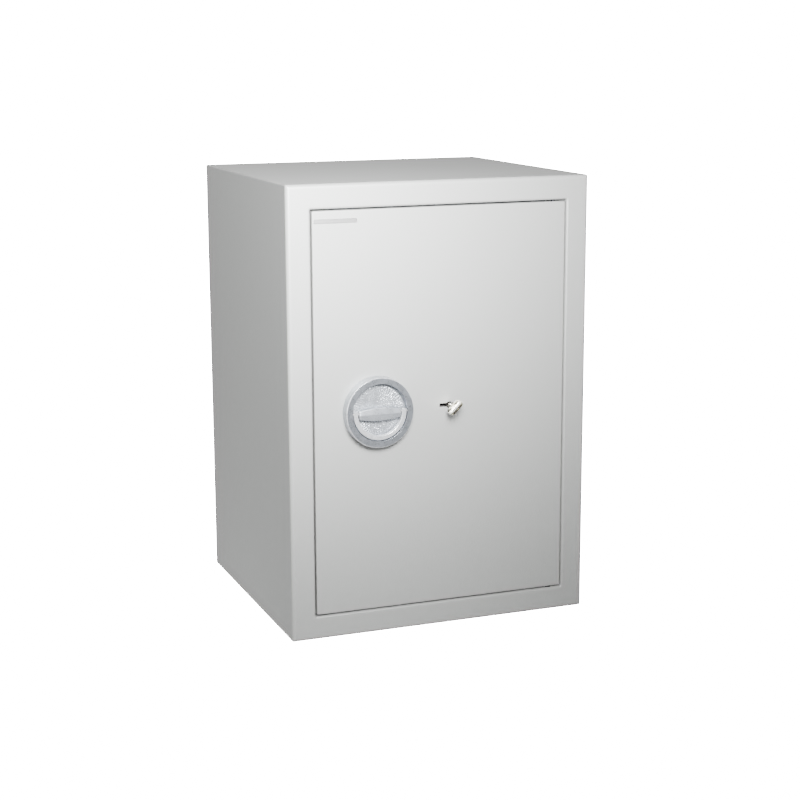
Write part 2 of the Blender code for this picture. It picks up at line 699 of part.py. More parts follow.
def make_side_boltwork(bar_axis):
    """Slotted bar with an upright flange, and the three side bolts on it."""
    pin_x, pin_z = pin_place(45)
    layer = (deep(BAR_START), deep(BAR_END))
    half = DRIVE_PIN_R + SLOT_SLACK
    web = half + 0.004
    low_z, high_z = pin_z - half - 0.0035, WORKS_Z + CRANK_R + half + 0.004
    flange_x = BAR_FLANGE_X
    bar = box("bolt_bar", (flange_x, layer[0], low_z), (pin_x + web, layer[1], high_z), ZINCED)
    reach = SIDE_BOLT_STEP + 0.016
    low = (flange_x, layer[0], WORKS_Z - reach)
    boolean(bar, box("bar_upright", low, (flange_x + 0.018, layer[1], WORKS_Z + reach)), "UNION")
    flange_high = (flange_x + 0.003, deep(BOLT_DEEP + BOLT_R), WORKS_Z + reach)
    boolean(bar, box("bar_flange", low, flange_high), "UNION")
    slot_low = (pin_x - half, layer[0] - 0.01, pin_z - half)
    boolean(bar, box("bar_slot", slot_low, (pin_x + half, layer[1] + 0.001, WORKS_Z + CRANK_R + half)))
    hang(bar, bar_axis)
    for which, z in zip(("lower", "middle", "upper"), side_bolt_heights()):
        start = (flange_x - GAP, deep(BOLT_DEEP), z)
        add_bolt("side_bolt_" + which, start, (PAN_LEFT - 0.0015, deep(BOLT_DEEP), z), bar_axis)


def make_guides(door):
    """Bridges on the carrier plate that the bar and the rods slide in."""
    base = deep(CARRIER_END + GAP)
    flange_x = BAR_FLANGE_X
    clear = 0.0005
    for which, side in (("upper", 1), ("lower", -1)):
        z = WORKS_Z + side * 0.130
        low = (flange_x - 0.0220, base, z - 0.008)
        guide = box("bar_guide_" + which, low, (flange_x + 0.0235, deep(BAR_END + 0.003), z + 0.008), ZINCED)
        way_low = (flange_x - 0.0220 + 0.0012, deep(BAR_START) - clear, z - 0.02)
        way_high = (flange_x + 0.0180 + clear, deep(BAR_END + 0.02), z + 0.02)
        boolean(guide, box("bar_way", way_low, way_high))
        hang(guide, door)
    for which, side in (("top", 1), ("bottom", -1)):
        z = WORKS_Z + side * 0.150
        arm = sorted((HANDLE_X + side * ROD_NEAR, HANDLE_X + side * ROD_FAR))
        low = (arm[0] - 0.006, base, z - 0.008)
        guide = box(which + "_rod_guide", low, (arm[1] + 0.006, deep(ROD_END + 0.003), z + 0.008), ZINCED)
        way_low = (arm[0] - clear, deep(ROD_START) - clear, z - 0.02)
        boolean(guide, box("rod_way", way_low, (arm[1] + clear, deep(ROD_END) + clear, z + 0.02)))
        hang(guide, door)


# ---- the lock ------------------------------------------------------------
def make_lock(door, latch_axis, lever_axis):
    """Lock case and cover, lock bolt, and the levers on their post."""
    low = (LOCK_LEFT, deep(LOCK_START), WORKS_Z - LOCK_HALF_HIGH)
    high = (LOCK_RIGHT, deep(LOCK_END), WORKS_Z + LOCK_HALF_HIGH)
    case = box("lock_case", low, high, ZINCED)
    bevel(case, 0.0010, 1)
    wall = LOCK_WALL
    room_low = (low[0] + wall, low[1] + wall, low[2] + wall)
    boolean(case, box("lock_room", room_low, (high[0] - wall, high[1] + 0.01, high[2] - wall)))
    for cutter in keyway(FRONT, deep(0.030), 0.0005):
        boolean(case, cutter)
    slack = 0.0004
    start, end = deep(LATCH_START), deep(LATCH_END)
    window_low = (low[0] - 0.01, start - slack, WORKS_Z - LATCH_HALF_HIGH - slack)
    window_high = (LATCH_TAIL + LATCH_REACH + 0.001, end + slack, WORKS_Z + LATCH_HALF_HIGH + slack)
    boolean(case, box("latch_window", window_low, window_high))
    hang(case, door)
    cover_low = (low[0], deep(LOCK_END + GAP), low[2])
    cover = box("lock_cover", cover_low, (high[0], deep(LOCK_END + GAP + 0.0015), high[2]), ZINCED)
    hang(cover, door)
    tip = HANDLE_X + CAM_R + 0.0007
    latch_low = (tip, start, WORKS_Z - LATCH_HALF_HIGH)
    latch = box("lock_bolt", latch_low, (LATCH_TAIL, end, WORKS_Z + LATCH_HALF_HIGH), BRASS_LOOK)
    bevel(latch, 0.0006, 1)
    hang(latch, latch_axis)
    post_start = LOCK_START + LOCK_WALL + GAP
    post_middle = (LEVER_X, deep((LEVER_LAST + post_start) / 2), LEVER_Z)
    post = rod("lever_post", LEVER_POST_R, LEVER_LAST - post_start, post_middle, "Y", STEEL, 16)
    hang(post, door)
    for number in range(LEVERS):
        make_lever(number, lever_axis)


def make_lever(number, lever_axis):
    """A flat lever on the post, arched over the key's sweep."""
    sweep = BIT_REACH + 0.0015
    centre = (KEY_X - LEVER_X, WORKS_Z - LEVER_Z)
    under = arc(sweep, 50, 140, 12, centre)
    tail_x = KEY_X - LEVER_X - 0.020
    top = [(tail_x, 0.0065), (0.0040, 0.0065)]
    points = [(0.0055, -0.0060), *under, (tail_x, -0.0060), *top, (0.0055, 0.0040)]
    start = deep(LEVER_FIRST + number * LEVER_STEP)
    middle = (LEVER_X, start + LEVER_THICK / 2, LEVER_Z)
    hole = arc(LEVER_POST_R + GAP, 0, 345, 23)
    lever = outline(f"lever_{number + 1}", points, LEVER_THICK, middle, BRASS_LOOK, (hole,))
    hang(lever, lever_axis)


def make_key(key_axis):
    """Double-bitted key, half turned: rounded oblong bow, shank and two bits."""
    bow_points = rounded_oblong(KEY_BOW_WIDE, KEY_BOW_LONG, KEY_BOW_SQUARE, 32)
    bow = outline("key", bow_points, KEY_BOW_THICK, (0, 0, 0), NICKEL_LOOK)
    to_bow = Matrix.Rotation(math.radians(-90), 4, "X")
    bow.data.transform(Matrix.Translation((0, KEY_BOW_DEEP, 0)) @ to_bow)
    bow.location = (KEY_X, FRONT, WORKS_Z)
    bevel(bow, 0.0005, 1, 60)
    shank_start, shank_end = KEY_BOW_DEEP + KEY_BOW_LONG - 0.002, 0.0445
    middle = (KEY_X, FRONT + (shank_start + shank_end) / 2, WORKS_Z)
    boolean(bow, rod("key_shank", KEY_SHANK_R, shank_end - shank_start, middle, "Y", None, 20), "UNION")
    bit_low = (KEY_X - BIT_REACH, deep(0.0300), WORKS_Z - 0.0011)
    bits = box("key_bits", bit_low, (KEY_X + BIT_REACH, deep(0.0435), WORKS_Z + 0.0011))
    for number in range(3):
        left = KEY_X + BIT_REACH - 0.001 - 0.0008 * number
        start = 0.0315 + 0.0042 * number
        step_low = (left, deep(start), WORKS_Z - 0.01)
        step_high = (KEY_X + BIT_REACH + 0.01, deep(start + 0.0022), WORKS_Z + 0.01)
        boolean(bits, box("bit_step", step_low, step_high))
    boolean(bow, bits, "UNION")
    turn_about_key(bits)
    bow.rotation_euler = (0, -math.radians(KEY_TURN), 0)
    hang(bow, key_axis)


def turn_about_key(obj):
    """Turn a cutter about the key's axis by the key's standing angle."""
    centre = Vector((KEY_X, obj.location.y, WORKS_Z))
    turn = Matrix.Rotation(-math.radians(KEY_TURN), 4, "Y")
    obj.location = centre + turn @ (obj.location - centre)
    obj.rotation_euler = (0, -math.radians(KEY_TURN), 0)
    for step in obj.modifiers:
        if step.type == "BOOLEAN" and step.object:
            turn_about_key(step.object)


# ---- the handle ----------------------------------------------------------
def make_handle(handle, bail_axis):
    """Grip disc with its crossbar, bush, spindle, grip pin and folding grip."""
    face = -HANDLE_PROUD
    floor = face + DISH_DEEP
    side = HANDLE_R
    profile = [
        (0.0, -floor),
        (DISH_R - 0.0035, -floor),
        (DISH_R - 0.0010, -floor + 0.0010),
        (DISH_R, -floor + 0.0035),
        (DISH_R, -face),
        (side - 0.0018, -face),
        (side - 0.0006, -face - 0.0006),
        (side, -face - 0.0018),
        (side + 0.0003, GAP),
        (0.0, GAP),
    ]
    disc = turned("handle_disc", profile, (HANDLE_X, FRONT, WORKS_Z), "Y", SILVER, 96)
    disc.rotation_euler = Matrix.Rotation(math.radians(90), 4, "X").to_euler()
    boolean(disc, crossbar(), "UNION")
    pin_y = FRONT - HANDLE_PROUD + BAIL_AXIS_DEEP
    pin_at = (HANDLE_X, pin_y, WORKS_Z)
    boolean(disc, rod("pin_bore", GRIP_PIN_R + GAP, GRIP_PIN_LONG + 2 * GAP, pin_at, "X", None, 12))
    boolean(disc, rod("spindle_bore", SPINDLE_R + GAP, 0.006, (HANDLE_X, FRONT, WORKS_Z), "Y", None, 24))
    hang(disc, handle)
    hang(rod("grip_pin", GRIP_PIN_R, GRIP_PIN_LONG, pin_at, "X", STEEL, 12), handle)
    spindle_low, spindle_high = FRONT - 0.0027, deep(CAM_END)
    middle = (HANDLE_X, (spindle_low + spindle_high) / 2, WORKS_Z)
    hang(rod("handle_spindle", SPINDLE_R, spindle_high - spindle_low, middle, "Y", STEEL, 24), handle)
    make_grip(bail_axis, pin_y)


def crossbar():
    """The barrel-shaped bar cast across the dish."""
    reach = 0.036
    rows = 8
    upper = []
    for step in range(rows + 1):
        x = reach * (1 - 2 * step / rows)
        bulge = 1 - (x / reach) ** 2
        half = BAR_END_HALF - 0.0006 + (BAR_MIDDLE_HALF - BAR_END_HALF + 0.0006) * bulge
        upper.append((x, BAR_RISE + half))
    lower = [(-x, 2 * BAR_RISE - z) for x, z in upper]
    tall = DISH_DEEP
    middle = (HANDLE_X, FRONT - HANDLE_PROUD + 0.0004 + tall / 2, WORKS_Z)
    bar = outline("crossbar", upper + lower, tall, middle)
    bevel(bar, 0.0011, 2, 40)
    keep = rod("crossbar_limit", BAR_CLIP_R, 0.04, middle, "Y", None, 64)
    boolean(bar, keep, "INTERSECT")
    return bar


def make_grip(bail_axis, pin_y):
    """The half-ring grip that folds out of the dish."""
    outer = [(BAIL_OUTER_R, BAIL_EAR), *reversed(arc(BAIL_OUTER_R, 180, 360, 40)), (-BAIL_OUTER_R, BAIL_EAR)]
    inner = [(-BAIL_INNER_R, BAIL_EAR), *arc(BAIL_INNER_R, 180, 360, 40), (BAIL_INNER_R, BAIL_EAR)]
    middle = (HANDLE_X, FRONT - HANDLE_PROUD + 0.0003 + BAIL_THICK / 2, WORKS_Z)
    grip = outline("folding_grip", outer + inner, BAIL_THICK, middle, SILVER)
    bevel(grip, 0.0009, 2, 40)
    boolean(grip, rod("grip_bore", GRIP_PIN_R + GAP, 0.1, (HANDLE_X, pin_y, WORKS_Z), "X", None, 12))
    hang(grip, bail_axis)


def make_handle_bush(door):
    """Bush in the door plate that the spindle turns in."""
    ring = [
        (0.0080, 0.0080),
        (0.0080, 0.0),
        (SPINDLE_R + GAP, 0.0),
        (SPINDLE_R + GAP, 0.0080),
        (0.0080, 0.0080),
    ]
    hang(turned("spindle_bush", ring, (HANDLE_X, FRONT + GAP, WORKS_Z), "Y", BRASS_LOOK, 24), door)


# ---- putting the safe together -------------------------------------------
def main():
    """Build the cabinet, then everything that rides on the door."""
    make_casing()
    make_back()
    make_liner()
    make_insulation()
    make_anchor_plugs()
    make_shelf()
    door = axis_empty("door_hinge_axis", (PIVOT_X, deep(PIVOT_DEEP), WORKS_Z))
    handle = axis_empty("handle_axis", (HANDLE_X, FRONT, WORKS_Z), door)
    bail_y = FRONT - HANDLE_PROUD + BAIL_AXIS_DEEP
    bail = axis_empty("grip_axis", (HANDLE_X, bail_y, WORKS_Z), handle)
    bar = axis_empty("bolt_bar_slide", (HANDLE_X, deep(BAR_START), WORKS_Z), door)
    top = axis_empty("top_rod_slide", (TOP_BOLT_X, deep(BOLT_DEEP), WORKS_Z), door)
    low = axis_empty("bottom_rod_slide", (LOW_BOLT_X, deep(BOLT_DEEP), WORKS_Z), door)
    latch = axis_empty("lock_bolt_slide", (LATCH_TAIL, deep(LATCH_START), WORKS_Z), door)
    key = axis_empty("key_axis", (KEY_X, FRONT, WORKS_Z), door)
    levers = axis_empty("lever_axis", (LEVER_X, deep(LEVER_FIRST), LEVER_Z), door)
    make_door_skin(door)
    make_door_pan(door)
    make_door_inside(door)
    make_hinges(door)
    make_handle_bush(door)
    make_cam(handle)
    make_side_boltwork(bar)
    make_rod("top_rod", -45, 1, "top_bolt", TOP_BOLT_X, PAN_HIGH + 0.0010, top)
    make_rod("bottom_rod", 135, -1, "bottom_bolt", LOW_BOLT_X, PAN_LOW - 0.0010, low)
    make_guides(door)
    make_lock(door, latch, levers)
    make_key(key)
    make_handle(handle, bail)
    bpy.context.view_layer.update()


main()
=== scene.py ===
"""Looks of a key-locking cabinet safe, built round its fixed frame of solids."""

import json
import logging
import math
from dataclasses import dataclass, field
from enum import Enum
from typing import Iterable, Sequence

import bmesh
import bpy
from mathutils import Matrix, Vector, noise


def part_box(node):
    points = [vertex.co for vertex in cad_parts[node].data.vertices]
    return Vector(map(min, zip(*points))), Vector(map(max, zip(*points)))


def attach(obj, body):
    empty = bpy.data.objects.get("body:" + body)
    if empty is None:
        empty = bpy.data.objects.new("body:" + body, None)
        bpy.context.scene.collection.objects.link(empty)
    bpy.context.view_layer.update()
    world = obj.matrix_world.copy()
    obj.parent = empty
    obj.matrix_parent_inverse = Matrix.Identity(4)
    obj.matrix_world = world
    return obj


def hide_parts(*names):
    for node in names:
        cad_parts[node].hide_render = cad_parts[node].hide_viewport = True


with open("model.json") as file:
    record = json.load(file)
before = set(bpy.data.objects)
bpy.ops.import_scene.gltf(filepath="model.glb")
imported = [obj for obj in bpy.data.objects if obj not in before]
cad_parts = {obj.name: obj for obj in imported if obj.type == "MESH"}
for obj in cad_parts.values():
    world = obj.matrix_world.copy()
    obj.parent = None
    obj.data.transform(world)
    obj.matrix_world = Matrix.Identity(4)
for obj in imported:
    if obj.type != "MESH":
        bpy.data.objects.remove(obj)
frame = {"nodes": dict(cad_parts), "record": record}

LOG = logging.getLogger("safe")
Point = tuple[float, float, float]
Colour = tuple[float, float, float]
Pair = tuple[float, float]
Outline = list[Pair]
Loop = list[Vector]
Ring = list[bmesh.types.BMVert]
Mesh = bmesh.types.BMesh
Tree = bpy.types.NodeTree
Socket = bpy.types.NodeSocket
Piece = bpy.types.Object
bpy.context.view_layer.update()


# ---- shared shader effects
class Effect(Enum):
    """Surface effects that the finishes share, one node group each."""

    PEEL = "powder_peel"
    MOTTLE = "slow_mottle"
    BRUSH = "brushed_lines"
    CAST = "cast_skin"
    SPECK = "fine_specks"
    # Lighter edges and corners: scuffs, and a painted highlight on rounded edges.
    WEAR_AND_HIGHLIGHT = "edge_wear_and_highlight"


def math_node(tree: Tree, kind: str, first: object, second: object) -> Socket:
    """Add a maths node and return its output.

    Args:
        tree: The group or material tree.
        kind: The operation, such as MULTIPLY.
        first: A socket or a number.
        second: A socket or a number.

    Returns:
        The node's output socket.
    """
    node = tree.nodes.new("ShaderNodeMath")
    node.operation = kind
    for socket, value in zip(node.inputs, (first, second)):
        if isinstance(value, (int, float)):
            socket.default_value = value
        else:
            tree.links.new(value, socket)
    return node.outputs[0]


class GroupMaker:
    """Builds the shader node groups once and hands them out by effect."""

    def __init__(self) -> None:
        """Start with no groups made."""
        self.made: dict[Effect, Tree] = {}

    def get(self, effect: Effect) -> Tree:
        """Return the node group of an effect, making it the first time.

        Args:
            effect: The effect that is wanted.

        Returns:
            The shared node group.
        """
        if effect not in self.made:
            builder = {
                Effect.PEEL: self._peel,
                Effect.MOTTLE: self._mottle,
                Effect.BRUSH: self._brush,
                Effect.CAST: self._cast,
                Effect.SPECK: self._speck,
                Effect.WEAR_AND_HIGHLIGHT: self._wear_and_highlight,
            }[effect]
            self.made[effect] = builder()
        return self.made[effect]

    def _start(self, effect: Effect, inputs: dict[str, float], outputs: Sequence[str]) -> Tree:
        """Make a node group with float sockets.

        Args:
            effect: The effect that names the group.
            inputs: Input names with their default values.
            outputs: Output names.

        Returns:
            The new group, with its input and output nodes in place.
        """
        tree = bpy.data.node_groups.new(effect.value, "ShaderNodeTree")
        for name, value in inputs.items():
            socket = tree.interface.new_socket(name, in_out="INPUT", socket_type="NodeSocketFloat")
            socket.default_value = value
        for name in outputs:
            tree.interface.new_socket(name, in_out="OUTPUT", socket_type="NodeSocketFloat")
        tree.nodes.new("NodeGroupInput").name = "in"
        tree.nodes.new("NodeGroupOutput").name = "out"
        tree.nodes.new("ShaderNodeTexCoord").name = "coord"
        return tree

    def _noise(self, tree: Tree, scale: float, detail: float) -> bpy.types.Node:
        """Add a noise texture on object coordinates.

        Args:
            tree: The group to add it to.
            scale: A factor on the group's Scale input.
            detail: Octaves of detail.

        Returns:
            The noise node.
        """
        node = tree.nodes.new("ShaderNodeTexNoise")
        node.inputs["Detail"].default_value = detail
        tree.links.new(tree.nodes["coord"].outputs["Object"], node.inputs["Vector"])
        times = math_node(tree, "MULTIPLY", tree.nodes["in"].outputs["Scale"], scale)
        tree.links.new(times, node.inputs["Scale"])
        return node

    def _range(self, tree: Tree, value: object, low: float, high: float) -> Socket:
        """Stretch a value so that low becomes 0 and high becomes 1.

        Args:
            tree: The group to add it to.
            value: The socket to stretch.
            low: The value that becomes 0.
            high: The value that becomes 1.

        Returns:
            The stretched value, clamped to 0..1.
        """
        node = tree.nodes.new("ShaderNodeMapRange")
        node.interpolation_type = "SMOOTHSTEP"
        node.inputs["From Min"].default_value = low
        node.inputs["From Max"].default_value = high
        tree.links.new(value, node.inputs["Value"])
        return node.outputs["Result"]

    def _put(self, tree: Tree, name: str, value: Socket) -> None:
        """Connect a value to a named output of the group."""
        tree.links.new(value, tree.nodes["out"].inputs[name])

    def _peel(self) -> Tree:
        """Powder coat's fine, rounded unevenness.

        Returns:
            The node group.
        """
        tree = self._start(Effect.PEEL, {"Scale": 700.0}, ["Height", "Mask"])
        coarse = self._noise(tree, 1.0, 2.0)
        fine = self._noise(tree, 3.1, 1.0)
        mixed = math_node(tree, "MULTIPLY", fine.outputs["Fac"], 0.35)
        self._put(tree, "Height", math_node(tree, "ADD", coarse.outputs["Fac"], mixed))
        self._put(tree, "Mask", self._range(tree, coarse.outputs["Fac"], 0.35, 0.65))
        return tree

    def _mottle(self) -> Tree:
        """Slow, cloudy differences of tone over a surface.

        Returns:
            The node group.
        """
        tree = self._start(Effect.MOTTLE, {"Scale": 6.0}, ["Mask", "Streak"])
        cloud = self._noise(tree, 1.0, 5.0)
        self._put(tree, "Mask", self._range(tree, cloud.outputs["Fac"], 0.32, 0.68))
        streak = self._noise(tree, 2.7, 3.0)
        self._put(tree, "Streak", self._range(tree, streak.outputs["Fac"], 0.4, 0.62))
        return tree

    def _brush(self) -> Tree:
        """Long fine lines, as brushing or grinding leaves.

        Returns:
            The node group.
        """
        inputs = {"Scale": 900.0, "Along X": 0.02, "Along Y": 1.0, "Along Z": 1.0}
        tree = self._start(Effect.BRUSH, inputs, ["Height", "Mask"])
        stretch = tree.nodes.new("ShaderNodeCombineXYZ")
        for axis in "XYZ":
            tree.links.new(tree.nodes["in"].outputs["Along " + axis], stretch.inputs[axis])
        times = tree.nodes.new("ShaderNodeVectorMath")
        times.operation = "MULTIPLY"
        tree.links.new(tree.nodes["coord"].outputs["Object"], times.inputs[0])
        tree.links.new(stretch.outputs[0], times.inputs[1])
        lines = self._noise(tree, 1.0, 3.0)
        tree.links.new(times.outputs[0], lines.inputs["Vector"])
        self._put(tree, "Height", lines.outputs["Fac"])
        self._put(tree, "Mask", self._range(tree, lines.outputs["Fac"], 0.3, 0.7))
        return tree

    def _cast(self) -> Tree:
        """The grainy skin of a lacquered die casting.

        Returns:
            The node group.
        """
        tree = self._start(Effect.CAST, {"Scale": 1500.0}, ["Height", "Mask"])
        cells = tree.nodes.new("ShaderNodeTexVoronoi")
        cells.feature = "SMOOTH_F1"
        tree.links.new(tree.nodes["coord"].outputs["Object"], cells.inputs["Vector"])
        tree.links.new(tree.nodes["in"].outputs["Scale"], cells.inputs["Scale"])
        grit = self._noise(tree, 0.8, 4.0)
        self._put(tree, "Height", math_node(tree, "ADD", cells.outputs["Distance"], grit.outputs["Fac"]))
        self._put(tree, "Mask", self._range(tree, grit.outputs["Fac"], 0.35, 0.65))
        return tree

    def _speck(self) -> Tree:
        """Sparse tiny specks of dust and pinholes."""
        tree = self._start(Effect.SPECK, {"Scale": 260.0}, ["Mask"])
        dots = self._noise(tree, 1.0, 0.0)
        self._put(tree, "Mask", self._range(tree, dots.outputs["Fac"], 0.72, 0.80))
        return tree

    def _wear_and_highlight(self) -> Tree:
        """Where edges and corners are lighter: scuffs, and a painted highlight on rounded edges.

        Returns:
            The node group.
        """
        tree = self._start(Effect.WEAR_AND_HIGHLIGHT, {"Scale": 90.0}, ["Mask"])
        shape = tree.nodes.new("ShaderNodeNewGeometry")
        edge = self._range(tree, shape.outputs["Pointiness"], 0.505, 0.56)
        patch = self._noise(tree, 1.0, 4.0)
        broken = self._range(tree, patch.outputs["Fac"], 0.30, 0.50)
        self._put(tree, "Mask", math_node(tree, "MULTIPLY", edge, broken))
        return tree


GROUPS = GroupMaker()


# ---- finishes
SPECK_SHADE = 0.82
SPECK_AMOUNT = 0.25
STREAK_SHARE = 0.8
ROUGH_DROP = 0.9


@dataclass(frozen=True)
class Finish:
    """One finish: colour, gloss and the effects that break it up.

    Attributes:
        name: The material's name.
        colour: Base colour, linear.
        shade: The second colour that the mottle mixes in.
        roughness: Mean roughness.
        metallic: 0 for paint and plastic, 1 for bare metal.
        grain: The effect that gives the fine relief.
        grain_scale: Scale of that relief.
        grain_depth: Depth of the relief in metres.
        mottle_scale: Scale of the slow tone changes.
        mottle_amount: How far the second colour is mixed in.
        rough_spread: How much the relief changes the roughness.
        worn_and_highlight: Colour of scuffed edges and of the painted highlight on rounded edges.
        wear_and_highlight_amount: How strongly that lighter edge colour shows.
        coat: Weight of a clear coat.
        coat_rough: Roughness of that coat.
        brush_along: Stretch of brushed lines along X, Y and Z.
    """

    name: str
    colour: Colour
    shade: Colour
    roughness: float
    metallic: float = 0.0
    grain: Effect = Effect.PEEL
    grain_scale: float = 700.0
    grain_depth: float = 0.00003
    mottle_scale: float = 6.0
    mottle_amount: float = 0.5
    rough_spread: float = 0.06
    worn_and_highlight: Colour = (0.62, 0.62, 0.62)
    wear_and_highlight_amount: float = 0.0
    coat: float = 0.0
    coat_rough: float = 0.2
    brush_along: Point = (0.02, 1.0, 1.0)

    def _group(self, tree: Tree, effect: Effect, **values: float) -> bpy.types.Node:
        """Place a shared effect in a material.

        Args:
            tree: The material's node tree.
            effect: Which effect.
            **values: Input values, with spaces in names written as underscores.

        Returns:
            The group node.
        """
        node = tree.nodes.new("ShaderNodeGroup")
        node.node_tree = GROUPS.get(effect)
        for name, value in values.items():
            node.inputs[name.replace("_", " ")].default_value = value
        return node

    def _mix(self, tree: Tree, factor: object, first: object, second: object) -> Socket:
        """Mix two colours.

        Args:
            tree: The material's node tree.
            factor: A socket or number from 0 to 1.
            first: A colour or a colour socket.
            second: A colour or a colour socket.

        Returns:
            The mixed colour.
        """
        node = tree.nodes.new("ShaderNodeMix")
        node.data_type = "RGBA"
        sockets = (node.inputs[0], node.inputs[6], node.inputs[7])
        for socket, value in zip(sockets, (factor, first, second)):
            if isinstance(value, Socket):
                tree.links.new(value, socket)
            elif isinstance(value, tuple):
                socket.default_value = (*value, 1.0)
            else:
                socket.default_value = value
        return node.outputs[2]

    def material(self) -> bpy.types.Material:
        """Return this finish's material, built the first time it is asked for.

        Returns:
            The material.
        """
        known = bpy.data.materials.get(self.name)
        if known is not None:
            return known
        mat = bpy.data.materials.new(self.name)
        mat.use_nodes = True
        tree = mat.node_tree
        shader = tree.nodes["Principled BSDF"]
        shader.inputs["Metallic"].default_value = self.metallic
        shader.inputs["Coat Weight"].default_value = self.coat
        shader.inputs["Coat Roughness"].default_value = self.coat_rough
        mottle = self._group(tree, Effect.MOTTLE, Scale=self.mottle_scale)
        speck = self._group(tree, Effect.SPECK)
        amount = math_node(tree, "MULTIPLY", mottle.outputs["Mask"], self.mottle_amount)
        colour = self._mix(tree, amount, self.colour, self.shade)
        dark = tuple(channel * SPECK_SHADE for channel in self.colour)
        speck_amount = math_node(tree, "MULTIPLY", speck.outputs["Mask"], SPECK_AMOUNT)
        colour = self._mix(tree, speck_amount, colour, dark)
        # Lighter edges: scuffs, and a painted highlight where rounded edges would catch the lamp.
        if self.wear_and_highlight_amount > 0.0:
            wear_and_highlight_node = self._group(tree, Effect.WEAR_AND_HIGHLIGHT)
            rubbed_and_highlight = math_node(tree, "MULTIPLY", wear_and_highlight_node.outputs["Mask"], self.wear_and_highlight_amount)
            colour = self._mix(tree, rubbed_and_highlight, colour, self.worn_and_highlight)
        tree.links.new(colour, shader.inputs["Base Color"])
        values = {"Scale": self.grain_scale}
        if self.grain is Effect.BRUSH:
            values.update(zip(("Along_X", "Along_Y", "Along_Z"), self.brush_along))
        grain = self._group(tree, self.grain, **values)
        spread = math_node(tree, "MULTIPLY", grain.outputs["Mask"], self.rough_spread)
        slow = math_node(tree, "MULTIPLY", mottle.outputs["Streak"], self.rough_spread * STREAK_SHARE)
        both = math_node(tree, "ADD", spread, slow)
        rough = math_node(tree, "ADD", both, self.roughness - self.rough_spread * ROUGH_DROP)
        tree.links.new(rough, shader.inputs["Roughness"])
        bump = tree.nodes.new("ShaderNodeBump")
        bump.inputs["Strength"].default_value = 1.0
        bump.inputs["Distance"].default_value = self.grain_depth
        tree.links.new(grain.outputs["Height"], bump.inputs["Height"])
        tree.links.new(bump.outputs["Normal"], shader.inputs["Normal"])
        return mat


# The casing's near-white edge colour is a painted highlight on its rounded folds and doorway lip.
CASING_PAINT = Finish(
    "casing_paint", (0.585, 0.590, 0.588), (0.560, 0.566, 0.565), 0.42, grain_depth=0.000025,
    coat=0.45, worn_and_highlight=(0.92, 0.92, 0.91), wear_and_highlight_amount=0.8,
)
# The door's pale edge colour is partly scuffs and partly a painted highlight on its rounded front edge.
DOOR_PAINT = Finish(
    "door_paint", (0.590, 0.595, 0.592), (0.567, 0.572, 0.570), 0.40, grain_depth=0.000022,
    mottle_scale=5.0, coat=0.35, worn_and_highlight=(0.85, 0.85, 0.84), wear_and_highlight_amount=0.5,
)
PAN_PAINT = Finish("pan_paint", (0.55, 0.556, 0.556), (0.52, 0.527, 0.53), 0.48, grain_depth=0.00003)
LINER_PAINT = Finish(
    "liner_paint", (0.53, 0.54, 0.54), (0.49, 0.50, 0.505), 0.5, mottle_scale=9.0, grain_depth=0.00003
)
SILVER_LACQUER = Finish(
    "silver_lacquer", (0.36, 0.385, 0.42), (0.29, 0.315, 0.35), 0.34, 0.72, Effect.CAST, 1700.0, 0.00005,
    mottle_scale=40.0, coat=0.25, rough_spread=0.1,
)
DISH_LACQUER = Finish(
    "dish_lacquer", (0.54, 0.57, 0.61), (0.42, 0.45, 0.50), 0.36, 0.60, Effect.CAST, 1500.0, 0.00006,
    mottle_scale=45.0, worn_and_highlight=(0.80, 0.81, 0.83), wear_and_highlight_amount=0.5, coat=0.15, rough_spread=0.12,
)
# The grip's near-white edge colour is a painted highlight on its rounded edges.
GRIP_LACQUER = Finish(
    "grip_lacquer", (0.80, 0.82, 0.85), (0.72, 0.75, 0.79), 0.26, 0.45, Effect.CAST, 2100.0, 0.000015,
    mottle_scale=45.0, worn_and_highlight=(0.95, 0.95, 0.96), wear_and_highlight_amount=0.8, coat=0.5, rough_spread=0.08,
)
ZINC = Finish(
    "zinc_plate", (0.56, 0.575, 0.58), (0.46, 0.475, 0.49), 0.38, 1.0, Effect.BRUSH, 420.0, 0.00001,
    mottle_scale=70.0, mottle_amount=0.8, rough_spread=0.14, brush_along=(0.2, 1.0, 0.2),
)
BRIGHT_STEEL = Finish(
    "bright_steel", (0.60, 0.60, 0.60), (0.50, 0.50, 0.51), 0.24, 1.0, Effect.BRUSH, 1400.0, 0.000008,
    mottle_scale=60.0, rough_spread=0.12, brush_along=(1.0, 0.05, 0.05),
    worn_and_highlight=(0.75, 0.75, 0.75), wear_and_highlight_amount=0.4,
)
BADGE_METAL = Finish(
    "badge_aluminium", (0.42, 0.42, 0.43), (0.35, 0.35, 0.36), 0.36, 1.0, Effect.BRUSH, 1500.0, 0.00001,
    mottle_scale=50.0, rough_spread=0.12, brush_along=(0.02, 1.0, 1.0),
)
NICKEL = Finish(
    "key_nickel", (0.38, 0.37, 0.345), (0.28, 0.272, 0.25), 0.33, 1.0, Effect.BRUSH, 1300.0, 0.00001,
    mottle_scale=160.0, rough_spread=0.15, brush_along=(0.1, 1.0, 0.1),
    worn_and_highlight=(0.84, 0.82, 0.74), wear_and_highlight_amount=0.5,
)
BRASS = Finish(
    "brass", (0.68, 0.50, 0.24), (0.55, 0.38, 0.17), 0.30, 1.0, Effect.BRUSH, 1200.0, 0.000008,
    mottle_scale=120.0, rough_spread=0.12,
)
BOARD = Finish(
    "insulation_board", (0.24, 0.235, 0.23), (0.17, 0.165, 0.16), 0.92, 0.0, Effect.CAST, 500.0, 0.0002,
    mottle_scale=25.0, rough_spread=0.06,
)
